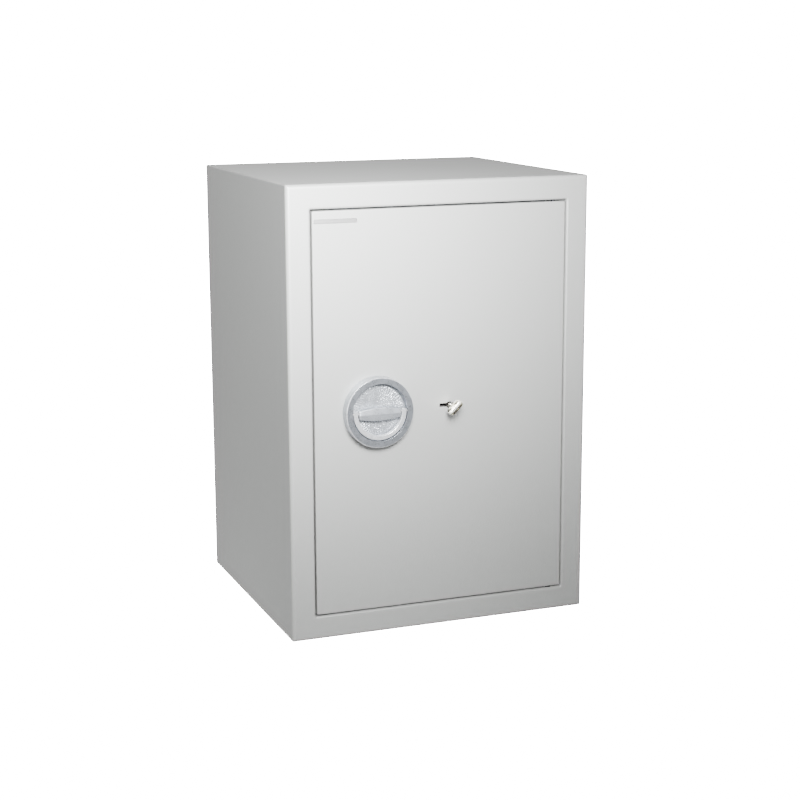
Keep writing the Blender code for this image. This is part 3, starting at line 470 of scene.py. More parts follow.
# Near-black steel for the hinge parts in the door gap: partly dark steel, partly painted shade so they sink
# into the gap.
DARK_STEEL_AND_GAP_SHADE = Finish(
    "blued_steel", (0.045, 0.046, 0.050), (0.07, 0.07, 0.075), 0.42, 0.8, Effect.CAST, 1800.0, 0.00001,
    mottle_scale=120.0, rough_spread=0.1, worn_and_highlight=(0.30, 0.30, 0.30), wear_and_highlight_amount=0.5,
)
BLACK_PLASTIC = Finish(
    "black_plastic", (0.025, 0.025, 0.027), (0.04, 0.04, 0.042), 0.5, 0.0, Effect.CAST, 2500.0, 0.00002,
    mottle_scale=90.0,
)
SEAL_RUBBER = Finish(
    "seal_rubber", (0.03, 0.03, 0.031), (0.05, 0.048, 0.046), 0.8, 0.0, Effect.PEEL, 1500.0, 0.00004,
    mottle_scale=60.0,
)
FLOOR_PAINT = Finish(
    "studio_floor", (0.40, 0.40, 0.40), (0.39, 0.39, 0.39), 0.9, 0.0, Effect.PEEL, 60.0, 0.00002,
    mottle_scale=1.0, mottle_amount=0.3,
)
SLOT_FINISH = {
    "casing_paint": CASING_PAINT,
    "door_paint": DOOR_PAINT,
    "pan_paint": PAN_PAINT,
    "liner_paint": LINER_PAINT,
    "insulation": BOARD,
    "silver_casting": SILVER_LACQUER,
    "black_plastic": BLACK_PLASTIC,
    "seal_rubber": SEAL_RUBBER,
    "brass": BRASS,
    "badge_aluminium": BADGE_METAL,
    "key_nickel": NICKEL,
    "bright_steel": BRIGHT_STEEL,
    "blued_steel": DARK_STEEL_AND_GAP_SHADE,
    "zinc_plate": ZINC,
}


# ---- mesh tools
SMOOTH_BELOW = math.radians(32)
LEAST_RADIUS = 0.00005
ON_AXIS = 1e-7
CLEARANCE = 0.0003
CUT_REACH = 0.01


def arc(steps: int) -> list[float]:
    """Return the turns of a quarter circle, in radians, from none to a right angle."""
    return [math.radians(90 * step / steps) for step in range(steps + 1)]


def rounded_rectangle(low: Pair, high: Pair, radius: float, y: float, steps: int = 6) -> Loop:
    """Points round a rectangle in the XZ plane.

    Args:
        low: Lowest x and z.
        high: Highest x and z.
        radius: Corner radius.
        y: The plane's y.
        steps: Steps in each corner.

    Returns:
        The loop, counter-clockwise from the front.
    """
    radius = max(radius, LEAST_RADIUS)
    centres = (
        (high[0] - radius, high[1] - radius, 0),
        (low[0] + radius, high[1] - radius, 90),
        (low[0] + radius, low[1] + radius, 180),
        (high[0] - radius, low[1] + radius, 270),
    )
    loop = []
    for x, z, start in centres:
        for step in range(steps + 1):
            turn = math.radians(start + 90 * step / steps)
            loop.append(Vector((x + radius * math.cos(turn), y, z + radius * math.sin(turn))))
    return loop


def inset_loop(low: Vector, high: Vector, inset: float, radius: float, y: float, steps: int = 6) -> Loop:
    """Points round a box's front outline, drawn in by an inset.

    Args:
        low: The box's lowest corner.
        high: The box's highest corner.
        inset: How far in from the outline.
        radius: Corner radius.
        y: The plane's y.
        steps: Steps in each corner.

    Returns:
        The loop, counter-clockwise from the front.
    """
    start, end = (low.x + inset, low.z + inset), (high.x - inset, high.z - inset)
    return rounded_rectangle(start, end, radius, y, steps)


def loft(bm: Mesh, loops: Sequence[Loop], closed: bool = False, caps: bool = True) -> list[Ring]:
    """Join loops of equal length with quads.

    Args:
        bm: The mesh to add to.
        loops: Closed loops, in order.
        closed: Whether the last loop joins the first.
        caps: Whether the two end loops are filled.

    Returns:
        The vertices of each loop.
    """
    rings = [[bm.verts.new(point) for point in loop] for loop in loops]
    pairs = list(zip(rings, rings[1:]))
    if closed:
        pairs.append((rings[-1], rings[0]))
    for first, second in pairs:
        count = len(first)
        for i in range(count):
            j = (i + 1) % count
            bm.faces.new((first[i], first[j], second[j], second[i]))
    if caps and not closed:
        bm.faces.new(list(reversed(rings[0])))
        bm.faces.new(rings[-1])
    return rings


def lathe(bm: Mesh, profile: Sequence[Pair], place: Matrix, steps: int = 96) -> None:
    """Turn a profile of (radius, height) about the place's Z axis.

    Args:
        bm: The mesh to add to.
        profile: Points from one end of the outline to the other.
        place: Where the piece's axis stands.
        steps: Steps in a full turn.
    """
    rings: list[Ring] = []
    for radius, height in profile:
        if radius < ON_AXIS:
            rings.append([bm.verts.new(place @ Vector((0, 0, height)))])
            continue
        turns = (2 * math.pi * i / steps for i in range(steps))
        points = (Vector((radius * math.cos(t), radius * math.sin(t), height)) for t in turns)
        rings.append([bm.verts.new(place @ point) for point in points])
    for first, second in zip(rings, rings[1:]):
        for i in range(steps):
            j = (i + 1) % steps
            near = [first[i % len(first)], first[j % len(first)]]
            far = [second[j % len(second)], second[i % len(second)]]
            face = list(dict.fromkeys(near + far))
            if len(face) > 2:
                bm.faces.new(face)


def fillet(profile: Sequence[Pair], radii: dict[int, float], steps: int = 5) -> Outline:
    """Round chosen corners of an open outline.

    Args:
        profile: The outline's points.
        radii: Corner number to radius.
        steps: Steps in each rounded corner.

    Returns:
        The outline with its corners rounded.
    """
    out: Outline = []
    for number, point in enumerate(profile):
        if number not in radii:
            out.append(point)
            continue
        here = Vector(point)
        back = (Vector(profile[number - 1]) - here).normalized()
        on = (Vector(profile[number + 1]) - here).normalized()
        half = back.angle(on) / 2
        start = here + back * radii[number] / math.tan(half)
        end = here + on * radii[number] / math.tan(half)
        for step in range(steps + 1):
            t = step / steps
            point_at = start * (1 - t) ** 2 + here * 2 * t * (1 - t) + end * t ** 2
            out.append((point_at.x, point_at.y))
    return out


def facing(direction: Point, at: Point) -> Matrix:
    """Return a placement whose Z axis points along a direction.

    Args:
        direction: Where Z points.
        at: The origin's place.

    Returns:
        The placement.
    """
    turn = Vector(direction).to_track_quat("Z", "Y").to_matrix().to_4x4()
    return Matrix.Translation(at) @ turn


def block(bm: Mesh, low: Point, high: Point) -> None:
    """Add a plain block between two corners."""
    middle = (Vector(low) + Vector(high)) / 2
    size = Vector(high) - Vector(low)
    bmesh.ops.create_cube(bm, size=1.0, matrix=Matrix.Translation(middle) @ Matrix.Diagonal((*size, 1.0)))


def mesh_object(name: str, bm: Mesh) -> Piece:
    """Turn a bmesh into a linked, outward-facing, smooth-shaded object.

    Args:
        name: The object's name.
        bm: The mesh, which is freed.

    Returns:
        The object.
    """
    bmesh.ops.recalc_face_normals(bm, faces=bm.faces)
    mesh = bpy.data.meshes.new(name)
    bm.to_mesh(mesh)
    bm.free()
    mesh.shade_smooth()
    mesh.set_sharp_from_angle(angle=SMOOTH_BELOW)
    obj = bpy.data.objects.new(name, mesh)
    bpy.context.scene.collection.objects.link(obj)
    return obj


def apply_modifiers(obj: Piece) -> None:
    """Replace an object's mesh with its evaluated mesh.

    Args:
        obj: The object, whose modifiers are used up.
    """
    bpy.context.view_layer.update()
    ready = obj.evaluated_get(bpy.context.evaluated_depsgraph_get())
    mesh = bpy.data.meshes.new_from_object(ready)
    obj.modifiers.clear()
    obj.data = mesh
    mesh.shade_smooth()
    mesh.set_sharp_from_angle(angle=SMOOTH_BELOW)


def cut(obj: Piece, cutters: Iterable[Piece]) -> None:
    """Cut an object with cutters, which are then removed.

    Args:
        obj: The object to cut.
        cutters: Closed meshes.
    """
    cutters = list(cutters)
    for cutter in cutters:
        step = obj.modifiers.new("cut", "BOOLEAN")
        step.operation = "DIFFERENCE"
        step.solver = "EXACT"
        step.object = cutter
    apply_modifiers(obj)
    for cutter in cutters:
        bpy.data.objects.remove(cutter, do_unlink=True)


def soften(obj: Piece, width: float, segments: int = 2, angle: float = 40.0) -> None:
    """Round an object's sharp edges.

    Args:
        obj: The object.
        width: Width of the rounding.
        segments: Steps across it.
        angle: Edges sharper than this are rounded, in degrees.
    """
    step = obj.modifiers.new("edge", "BEVEL")
    step.width = width
    step.segments = segments
    step.limit_method = "ANGLE"
    step.angle_limit = math.radians(angle)
    step.harden_normals = False
    apply_modifiers(obj)


def even_normals(obj: Piece) -> None:
    """Keep large flat faces flat where they meet rounded edges."""
    step = obj.modifiers.new("even", "WEIGHTED_NORMAL")
    step.keep_sharp = True
    step.weight = 100


def drum(name: str, radius: float, start: Vector, end: Vector, steps: int = 32) -> Piece:
    """A plain cylinder between two points, used as a cutter.

    Args:
        name: The object's name.
        radius: Its radius.
        start: Middle of one end.
        end: Middle of the other end.
        steps: Sides.

    Returns:
        The cylinder.
    """
    bm = bmesh.new()
    way = end - start
    lathe(bm, [(0, 0), (radius, 0), (radius, way.length), (0, way.length)], facing(way, start), steps)
    return mesh_object(name, bm)


def dress(obj: Piece, finish: Finish, body: str, nodes: Sequence[str] = ()) -> Piece:
    """Give a piece its finish, its body and the frame nodes it stands for.

    Args:
        obj: The piece.
        finish: Its finish.
        body: The body that it rides on.
        nodes: Frame nodes that it replaces.

    Returns:
        The piece.
    """
    obj.data.materials.clear()
    obj.data.materials.append(finish.material())
    even_normals(obj)
    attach(obj, body)
    if nodes:
        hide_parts(*nodes)
    LOG.info("%s rides on %s, %d faces", obj.name, body, len(obj.data.polygons))
    return obj


# ---- the cabinet
@dataclass
class Casing:
    """The folded outer casing, its frame face and the return round the doorway.

    Attributes:
        fold: Radius of the folds between the face and the sides.
        corner: Radius of the folds along the cabinet's depth.
        lip: Radius of the fold into the doorway.
        doorway_corner: Radius of the doorway's corners, seen from the front.
        sheet: Sheet thickness.
        reveal: Depth of the return.
        door_gap: Air between the door and the return.
        least: Smallest corner radius.
        edge_row: Distance from each fold to the next row of points.
        back_edge: Slope on the rear edge.
        anchor: Radius of the anchor holes.
        steps: Facets in each fold.
    """

    fold: float = 0.0052
    corner: float = 0.0022
    lip: float = 0.0030
    doorway_corner: float = 0.0014
    sheet: float = 0.0030
    reveal: float = 0.0300
    door_gap: float = 0.0025
    least: float = 0.0006
    edge_row: float = 0.0020
    back_edge: float = 0.0005
    anchor: float = 0.007
    steps: int = 8

    def __post_init__(self) -> None:
        """Read the casing's and the doorway's size from the frame."""
        self.low, self.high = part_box("outer_casing")
        door_low, door_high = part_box("door_plate")
        self.face = door_high.x + self.door_gap
        self.margin = self.high.x - self.face

    def loop(self, inset: float, y: float) -> Loop:
        """Return the cabinet's outline at a depth, drawn in by an inset.

        Args:
            inset: How far in from the outer sides.
            y: The depth.

        Returns:
            The outline, with corners that follow the nearer of its two edges.
        """
        if inset < self.margin / 2:
            radius = max(self.corner - inset, self.least)
        else:
            radius = self.doorway_corner + self.margin - inset
        return inset_loop(self.low, self.high, inset, radius, y)

    def outline(self) -> Outline:
        """Return (inset, y) points once round the sheet's section.

        Returns:
            The section's points, from the rear edge over the face and back inside.
        """
        front, back = self.low.y, self.high.y
        near, fold, lip = self.edge_row, self.fold, self.lip
        points = [(self.back_edge, back), (0.0, back - self.back_edge)]
        points += [(0.0, back - near), (0.0, front + fold + near)]
        points += [(fold * (1 - math.cos(t)), front + fold * (1 - math.sin(t))) for t in arc(self.steps)]
        start = self.margin - lip
        points += [(fold + near, front), (start - near, front)]
        points += [(start + lip * math.sin(t), front + lip * (1 - math.cos(t))) for t in arc(self.steps)]
        inner = self.margin - self.sheet
        points += [(self.margin, front + lip + near), (self.margin, front + self.reveal - near)]
        points += [(self.margin, front + self.reveal), (inner, front + self.reveal)]
        points += [(inner, front + self.sheet), (self.sheet, front + self.sheet), (self.sheet, back)]
        return points

    def build(self) -> None:
        """Build the casing, drill it and dress it."""
        bm = bmesh.new()
        loft(bm, [self.loop(inset, y) for inset, y in self.outline()], closed=True)
        casing = mesh_object("casing_shell", bm)
        holes = []
        reach = Vector((0, 0, CUT_REACH))
        for which in ("upper", "lower"):
            low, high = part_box("hinge_bush_" + which)
            middle = (low + high) / 2
            holes.append(drum("bush_cut", (high.x - low.x) / 2 + CLEARANCE, middle - reach, middle + reach))
        for number in (1, 2):
            low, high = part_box(f"floor_anchor_plug_{number}")
            middle = (low + high) / 2
            foot = Vector((middle.x, middle.y, self.low.z))
            holes.append(drum("anchor_cut", self.anchor, foot - reach, foot + reach))
        cut(casing, holes)
        dress(casing, CASING_PAINT, "root", ["outer_casing"])


@dataclass
class Shelf:
    """The folded shelf with its turned-down lips.

    Attributes:
        bend: Radius of the folds.
        sheet: Sheet thickness.
    """

    bend: float = 0.0030
    sheet: float = 0.0015

    def build(self) -> None:
        """Build the shelf from its folded section."""
        low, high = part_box("shelf")
        outside = [(low.y, low.z), (low.y, high.z), (high.y, high.z), (high.y, low.z)]
        inset = self.sheet
        front, back, under = low.y + inset, high.y - inset, high.z - inset
        inside = [(back, low.z), (back, under), (front, under), (front, low.z)]
        outer = fillet(outside, {1: self.bend, 2: self.bend})
        inner = fillet(inside, {1: self.bend - inset, 2: self.bend - inset})
        section = outer + inner
        bm = bmesh.new()
        ends = [[Vector((x, y, z)) for y, z in section] for x in (low.x, high.x)]
        loft(bm, ends)
        shelf = mesh_object("folded_shelf", bm)
        dress(shelf, LINER_PAINT, "shelf", ["shelf"])


# ---- the door
@dataclass
class Door:
    """The door's front plate with its keyhole, the blank plate and the inner cover.

    Attributes:
        edge: Radius round the plate's front edge.
        corner: Radius of the plate's corners.
        thick: The plate's thickness.
        wall: Thickness of its folded return.
        slot_half: Half the keyhole's width.
        slot_high: Height of the keyhole's slot.
        key_hole: Radius of the round part of the keyhole.
        spindle_hole: Radius of the hole under the grip disc.
        steps: Steps in each corner and rounded edge.
        rim: Width of the name plate's raised rim.
        panel: Distance from the inner cover's edge to its pressed panel.
        screw_tall: Height of a screw's head.
        screw_rim: Height of the head's straight side.
        screw_shank: Radius of a screw's shank.
    """

    edge: float = 0.0016
    corner: float = 0.0018
    thick: float = 0.0040
    wall: float = 0.0020
    slot_half: float = 0.0150
    slot_high: float = 0.0054
    key_hole: float = 0.0047
    spindle_hole: float = 0.0082
    steps: int = 6
    rim: float = 0.0007
    panel: float = 0.030
    screw_tall: float = 0.0026
    screw_rim: float = 0.0009
    screw_shank: float = 0.0022

    def plate_loops(self, low: Vector, high: Vector, edge: float) -> list[Loop]:
        """Return the loops of a plate with a folded return and a rounded front edge.

        Args:
            low: The plate's lowest corner.
            high: The plate's highest corner.
            edge: Radius of the front edge.

        Returns:
            Loops from the hollow's floor, over the return, to the front face.
        """
        rows = [(self.wall, low.y + self.thick), (self.wall, high.y), (0.0, high.y)]
        rows += [(edge * (1 - math.cos(t)), low.y + edge * (1 - math.sin(t))) for t in arc(self.steps)]
        return [inset_loop(low, high, inset, self.corner - inset, y, self.steps) for inset, y in rows]

    def keyhole_cutters(self, centre: Vector, front: float, back: float) -> list[Piece]:
        """Return cutters for the keyhole.

        Args:
            centre: A point on the key's axis.
            front: Y in front of the plate.
            back: Y behind the plate.

        Returns:
            The slot's and the round hole's cutters.
        """
        bm = bmesh.new()
        half, high, corner = self.slot_half, self.slot_high / 2, 0.0012
        low_end, high_end = (centre.x - half, centre.z - high), (centre.x + half, centre.z + high)
        loft(bm, [rounded_rectangle(low_end, high_end, corner, y, 4) for y in (front, back)])
        slot = mesh_object("slot_cut", bm)
        start, end = Vector((centre.x, front, centre.z)), Vector((centre.x, back, centre.z))
        hole = drum("key_cut", self.key_hole, start, end, 48)
        return [slot, hole]

    def build_plate(self) -> None:
        """Build the front plate and cut its holes."""
        low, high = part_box("door_plate")
        bm = bmesh.new()
        loft(bm, self.plate_loops(low, high, self.edge))
        plate = mesh_object("door_skin", bm)
        key_low, key_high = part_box("key")
        front, back = low.y - CUT_REACH, high.y + CUT_REACH
        cutters = self.keyhole_cutters((key_low + key_high) / 2, front, back)
        grip_low, grip_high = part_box("handle_disc")
        axis = (grip_low + grip_high) / 2
        start, end = Vector((axis.x, front, axis.z)), Vector((axis.x, back, axis.z))
        cutters.append(drum("spindle_cut", self.spindle_hole, start, end))
        for which in ("upper", "lower"):
            pin_low, pin_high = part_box("hinge_pin_" + which)
            middle = (pin_low + pin_high) / 2
            reach = Vector((0, 0, (pin_high.z - pin_low.z) / 2))
            radius = (pin_high.x - pin_low.x) / 2 + CLEARANCE
            cutters.append(drum("pin_cut", radius, middle - reach, middle + reach))
        cut(plate, cutters)
        soften(plate, 0.00035, 2, 55)
        dress(plate, DOOR_PAINT, "door", ["door_plate"])

    def build_name_plate(self) -> None:
        """Build the blank name plate with its raised rim."""
        low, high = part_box("badge_plate")
        bm = bmesh.new()
        corner, slope, rim = 0.0012, 0.0002, self.rim
        face, floor = low.y, low.y + 0.0003
        rows = [(0.0, high.y), (0.0, face + slope), (slope, face), (rim, face), (rim + slope, floor)]
        loft(bm, [inset_loop(low, high, inset, corner, y, 5) for inset, y in rows])
        dress(mesh_object("blank_name_plate", bm), BADGE_METAL, "door", ["badge_plate"])

    def build_inner_cover(self) -> None:
        """Build the inner cover with rounded edges, a pressed panel and screw holes."""
        low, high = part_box("inner_cover")
        bm = bmesh.new()
        edge, press, slope, corner = 0.0006, 0.0005, 0.002, 0.002
        rows = [(0.0, low.y), (0.0, high.y - edge), (edge, high.y), (self.panel, high.y)]
        rows.append((self.panel + slope, high.y - press))
        loft(bm, [inset_loop(low, high, inset, corner + inset * 0.3, y, 6) for inset, y in rows])
        cover = mesh_object("pressed_inner_cover", bm)
        cutters = []
        for number in range(1, 7):
            middle = sum(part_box(f"cover_screw_{number}"), Vector()) / 2
            start = Vector((middle.x, low.y - CUT_REACH, middle.z))
            cutters.append(drum("screw_cut", 0.0026, start, start + Vector((0, 0.03, 0)), 24))
        cut(cover, cutters)
        dress(cover, PAN_PAINT, "door", ["inner_cover"])

    def build_screws(self) -> None:
        """Build the cover's pan-head screws with their cross recesses."""
        for number in range(1, 7):
            node = f"cover_screw_{number}"
            low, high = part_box(node)
            middle, radius = (low + high) / 2, (high.x - low.x) / 2
            tall, rim, shank = self.screw_tall, self.screw_rim, self.screw_shank
            base = high.y - tall
            profile = [(0, low.y - base), (shank, low.y - base), (shank, 0), (radius, 0), (radius, rim)]
            turns = [math.radians(angle) for angle in (15, 30, 45, 60, 75)]
            profile += [(radius * math.cos(turn), rim + (tall - rim) * math.sin(turn)) for turn in turns]
            profile.append((0, tall))
            bm = bmesh.new()
            lathe(bm, profile, facing((0, 1, 0), (middle.x, base, middle.z)), 32)
            screw = mesh_object(f"cover_screw_head_{number}", bm)
            cutters = []
            for turn in (20 + 37 * number, 110 + 37 * number):
                bm = bmesh.new()
                block(bm, (-radius * 0.62, tall - 0.0014, -0.0005), (radius * 0.62, tall + 0.001, 0.0005))
                spin = Matrix.Rotation(math.radians(turn), 4, "Y")
                bm.transform(Matrix.Translation((middle.x, base, middle.z)) @ spin)
                cutters.append(mesh_object("recess_cut", bm))
            cut(screw, cutters)
            dress(screw, ZINC, "door", [node])

    def build(self) -> None:
        """Build every visible piece of the door."""
        self.build_plate()
        self.build_name_plate()
        self.build_inner_cover()
        self.build_screws()


@dataclass
class Bolts:
    """The five round bolts that slide out of the door's edges.

    Attributes:
        chamfer: Size of the slope at a bolt's nose.
        homes: Each bolt's node and the body that it rides on.
    """

    chamfer: float = 0.0016
    homes: dict[str, str] = field(
        default_factory=lambda: {
            "side_bolt_lower": "side_bolts",
            "side_bolt_middle": "side_bolts",
            "side_bolt_upper": "side_bolts",
            "top_bolt": "top_rod",
            "bottom_bolt": "bottom_rod",
        }
    )

    def build(self) -> None:
        """Build each bolt as a turned bar with a rounded, chamfered nose."""
        for node, body in self.homes.items():
            low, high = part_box(node)
            size, middle = high - low, (low + high) / 2
            axis = 0 if node.startswith("side") else 2
            sign = 1 if node == "top_bolt" else -1
            way = Vector((0, 0, 0))
            way[axis] = sign
            radius, length = size.y / 2, size[axis]
            c = self.chamfer
            outline = [(0, 0), (radius - 0.0004, 0), (radius, 0.0004), (radius, length - c)]
            outline += [(radius - c, length), (0, length)]
            profile = fillet(outline, {3: 0.0005, 4: 0.0006}, 3)
            bm = bmesh.new()
            lathe(bm, profile, facing(way, middle - way * length / 2), 64)
            dress(mesh_object("round_" + node, bm), BRIGHT_STEEL, body, [node])


# ---- the handle
@dataclass
class GripDisc:
    """The cast disc with its dish and the crossbar across it.

    Attributes:
        dish: The dish's radius.
        dish_deep: The dish's depth below the rim.
        chamfer_wide: Width of the slope round the ring's outer edge.
        chamfer_deep: Depth of that slope.
        skirt_round: Radius between the slope and the disc's side.
        edge_row: Distance from each edge to the next row of points.
        bar_rise: Height of the crossbar's centre line over the axis.
        bar_middle: Half height of the crossbar at its middle.
        bar_end: Half height of the crossbar at its ends.
        bar_reach: Radius of the circle that the bar's ends follow.
        rays: Number of radial ridges in the dish floor.
        ray_high: Height of the ridges.
        steps: Sides of the turned disc.
    """

    dish: float = 0.0404
    dish_deep: float = 0.0095
    chamfer_wide: float = 0.0012
    chamfer_deep: float = 0.0010
    skirt_round: float = 0.0006
    edge_row: float = 0.0012
    bar_rise: float = -0.0022
    bar_middle: float = 0.0101
    bar_end: float = 0.0070
    bar_reach: float = 0.0308
    rays: int = 60
    ray_high: float = 0.00050
    steps: int = 320

    def __post_init__(self) -> None:
        """Read the disc's axis, radius and face from the frame."""
        low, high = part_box("handle_disc")
        self.radius = (high.x - low.x) / 2
        self.centre = Vector(((low.x + high.x) / 2, low.y, (low.z + high.z) / 2))
        self.tall = high.y - low.y

    def relief(self, x: float, z: float) -> float:
        """Return the dish floor's height at a place, radial near the wall.

        Args:
            x: Distance right of the axis.
            z: Distance above the axis.

        Returns:
            Height towards the front, in metres.
        """
        radius = math.hypot(x, z)
        turn = math.atan2(z, x)
        share = min(1.0, radius / self.dish)
        slow, coarse, fine = 90, 620, 1100
        drift = noise.noise(Vector((x * slow, z * slow, 0.0))) * 1.2
        ray = math.sin(self.rays * turn + drift * 3.0) * share ** 1.5
        hammer = noise.noise(Vector((x * coarse, z * coarse, 3.0)))
        hammer += 0.5 * noise.noise(Vector((x * fine, z * fine, 7.0)))
        return self.ray_high * (0.6 * ray + 0.8 * hammer)

    def disc_mesh(self, bm: Mesh) -> None:
        """Turn the disc and press the texture into its dish floor.

        Args:
            bm: The mesh to add to.
        """
        side, floor, wall = self.radius, -self.dish_deep, self.dish
        flat, rows = wall - 0.0030, 76
        profile = [(flat * i / rows, floor) for i in range(rows + 1)]
        near, slope = self.edge_row, side - self.chamfer_wide
        ring = [(flat, floor), (wall, floor), (wall, 0.0), (wall + near, 0.0), (slope - near, 0.0)]
        ring += [(slope, 0.0), (side - 0.0002, -self.chamfer_deep), (side, -self.chamfer_deep - near)]
        ring += [(side, -self.tall + near), (side, -self.tall)]
        profile += fillet(ring, {1: 0.0018, 2: 0.0005, 5: self.skirt_round, 6: self.skirt_round}, 6)[1:]
        profile.append((0.0, -self.tall))
        lathe(bm, profile, facing((0, -1, 0), tuple(self.centre)), self.steps)
        edge = wall - 0.0034
        for vert in bm.verts:
            x, z = vert.co.x - self.centre.x, vert.co.z - self.centre.z
            on_floor = abs(vert.co.y - self.centre.y - self.dish_deep) < 1e-6
            if on_floor and math.hypot(x, z) < edge:
                vert.co.y -= self.relief(x, z)

    def on_bar(self, point: Vector) -> bool:
        """Tell whether a point in front of the dish belongs to the crossbar."""
        reach = math.hypot(point.x - self.centre.x, point.z - self.centre.z)
        return reach < self.bar_reach + 0.0005 and point.y < self.centre.y + self.dish_deep * 0.6

    def bar_section(self, half: float) -> Outline:
        """Return (z, y) points over the bar, from its lower side to its upper side."""
        deep, crown, lean, middle = self.dish_deep + 0.0004, 0.0013, 0.0007, self.bar_rise
        points = [(middle - half, deep), (middle - half + lean, crown), (middle, 0.0)]
        points += [(middle + half - lean, crown), (middle + half, deep)]
        return fillet(points, {1: 0.0017, 2: 0.0040, 3: 0.0017}, 8)

    def bar_mesh(self, bm: Mesh) -> None:
        """Loft the barrel-shaped crossbar; its ends follow a circle.

        Args:
            bm: The mesh to add to.
        """
        rows = 40
        loops = []
        for step in range(rows + 1):
            share = 2 * step / rows - 1
            share = math.copysign(1 - (1 - abs(share)) ** 1.3, share)
            half = self.bar_end + (self.bar_middle - self.bar_end) * (1 - share * share)
            tuck = 0.0009 * max(0.0, (abs(share) - 0.965) / 0.035) ** 2
            loop = []
            for z, y in self.bar_section(half - tuck):
                reach = math.sqrt(self.bar_reach ** 2 - z * z)
                loop.append(self.centre + Vector((share * reach, y + tuck, z)))
            loops.append(loop)
        loft(bm, loops)

    def build(self) -> None:
        """Build the disc with its bar as one casting."""
        bm = bmesh.new()
        self.disc_mesh(bm)
        self.bar_mesh(bm)
        disc = mesh_object("grip_disc_casting", bm)
        dress(disc, SILVER_LACQUER, "handle", ["handle_disc"])
        disc.data.materials.append(DISH_LACQUER.material())
        disc.data.materials.append(GRIP_LACQUER.material())
        slope, rim = self.radius - self.chamfer_wide, self.radius - 0.0002
        for face in disc.data.polygons:
            x, z = face.center.x - self.centre.x, face.center.z - self.centre.z
            radius, depth = math.hypot(x, z), face.center.y - self.centre.y
            in_dish = radius < self.dish - 0.0020 and self.dish_deep * 0.8 < depth < self.dish_deep * 1.2
            # The slope round the ring's rim gets the bright grip lacquer: a painted highlight all round the
            # edge.
            on_slope = slope < radius < rim and depth < self.chamfer_deep
            if on_slope:
                face.material_index = 2
            elif in_dish or self.on_bar(face.center):
                face.material_index = 1


@dataclass
class FoldingGrip:
    """The half-ring grip that lies in the dish and folds out on its pin.

    Attributes:
        wide: Width of the band.
        thick: Thickness of the band; not used.
        crown: Radius of its front edges.
        steps: Steps round the half ring.
    """

    wide: float = 0.0068
    thick: float = 0.0052
    crown: float = 0.0017
    steps: int = 72

    def build(self) -> None:
        """Sweep the band round the half ring and square off its ears."""
        low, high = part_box("folding_grip")
        radius = (high.x - low.x) / 2
        pin_low, pin_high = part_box("grip_pin")
        axis = (pin_low + pin_high) / 2
        ear = high.z - axis.z
        back = high.y - low.y
        half = self.wide / 2
        corners = [(-half, back), (-half, 0), (half, 0), (half, back), (-half, back)]
        section = fillet(corners, {1: self.crown, 2: self.crown, 3: 0.0008}, 6)[:-1]
        middle = radius - half
        rises = (ear, ear * 0.85, ear * 0.4)
        turns = [-math.pi * i / self.steps for i in range(self.steps + 1)]
        loops = []
        for rise in rises:
            loops.append([Vector((axis.x + middle + r, low.y + y, axis.z + rise)) for r, y in section])
        for turn in turns:
            way = Vector((math.cos(turn), 0, math.sin(turn)))
            loops.append([Vector((axis.x, low.y + y, axis.z)) + way * (middle + r) for r, y in section])
        for rise in reversed(rises):
            loops.append([Vector((axis.x - middle - r, low.y + y, axis.z + rise)) for r, y in section])
        bm = bmesh.new()
        loft(bm, loops)
        grip = mesh_object("half_ring_grip", bm)
        reach = Vector((0.06, 0, 0))
        bore = drum("bore_cut", 0.0019, axis - reach, axis + reach, 24)
        cut(grip, [bore])
        soften(grip, 0.0004, 2, 60)
        dress(grip, GRIP_LACQUER, "grip", ["folding_grip"])


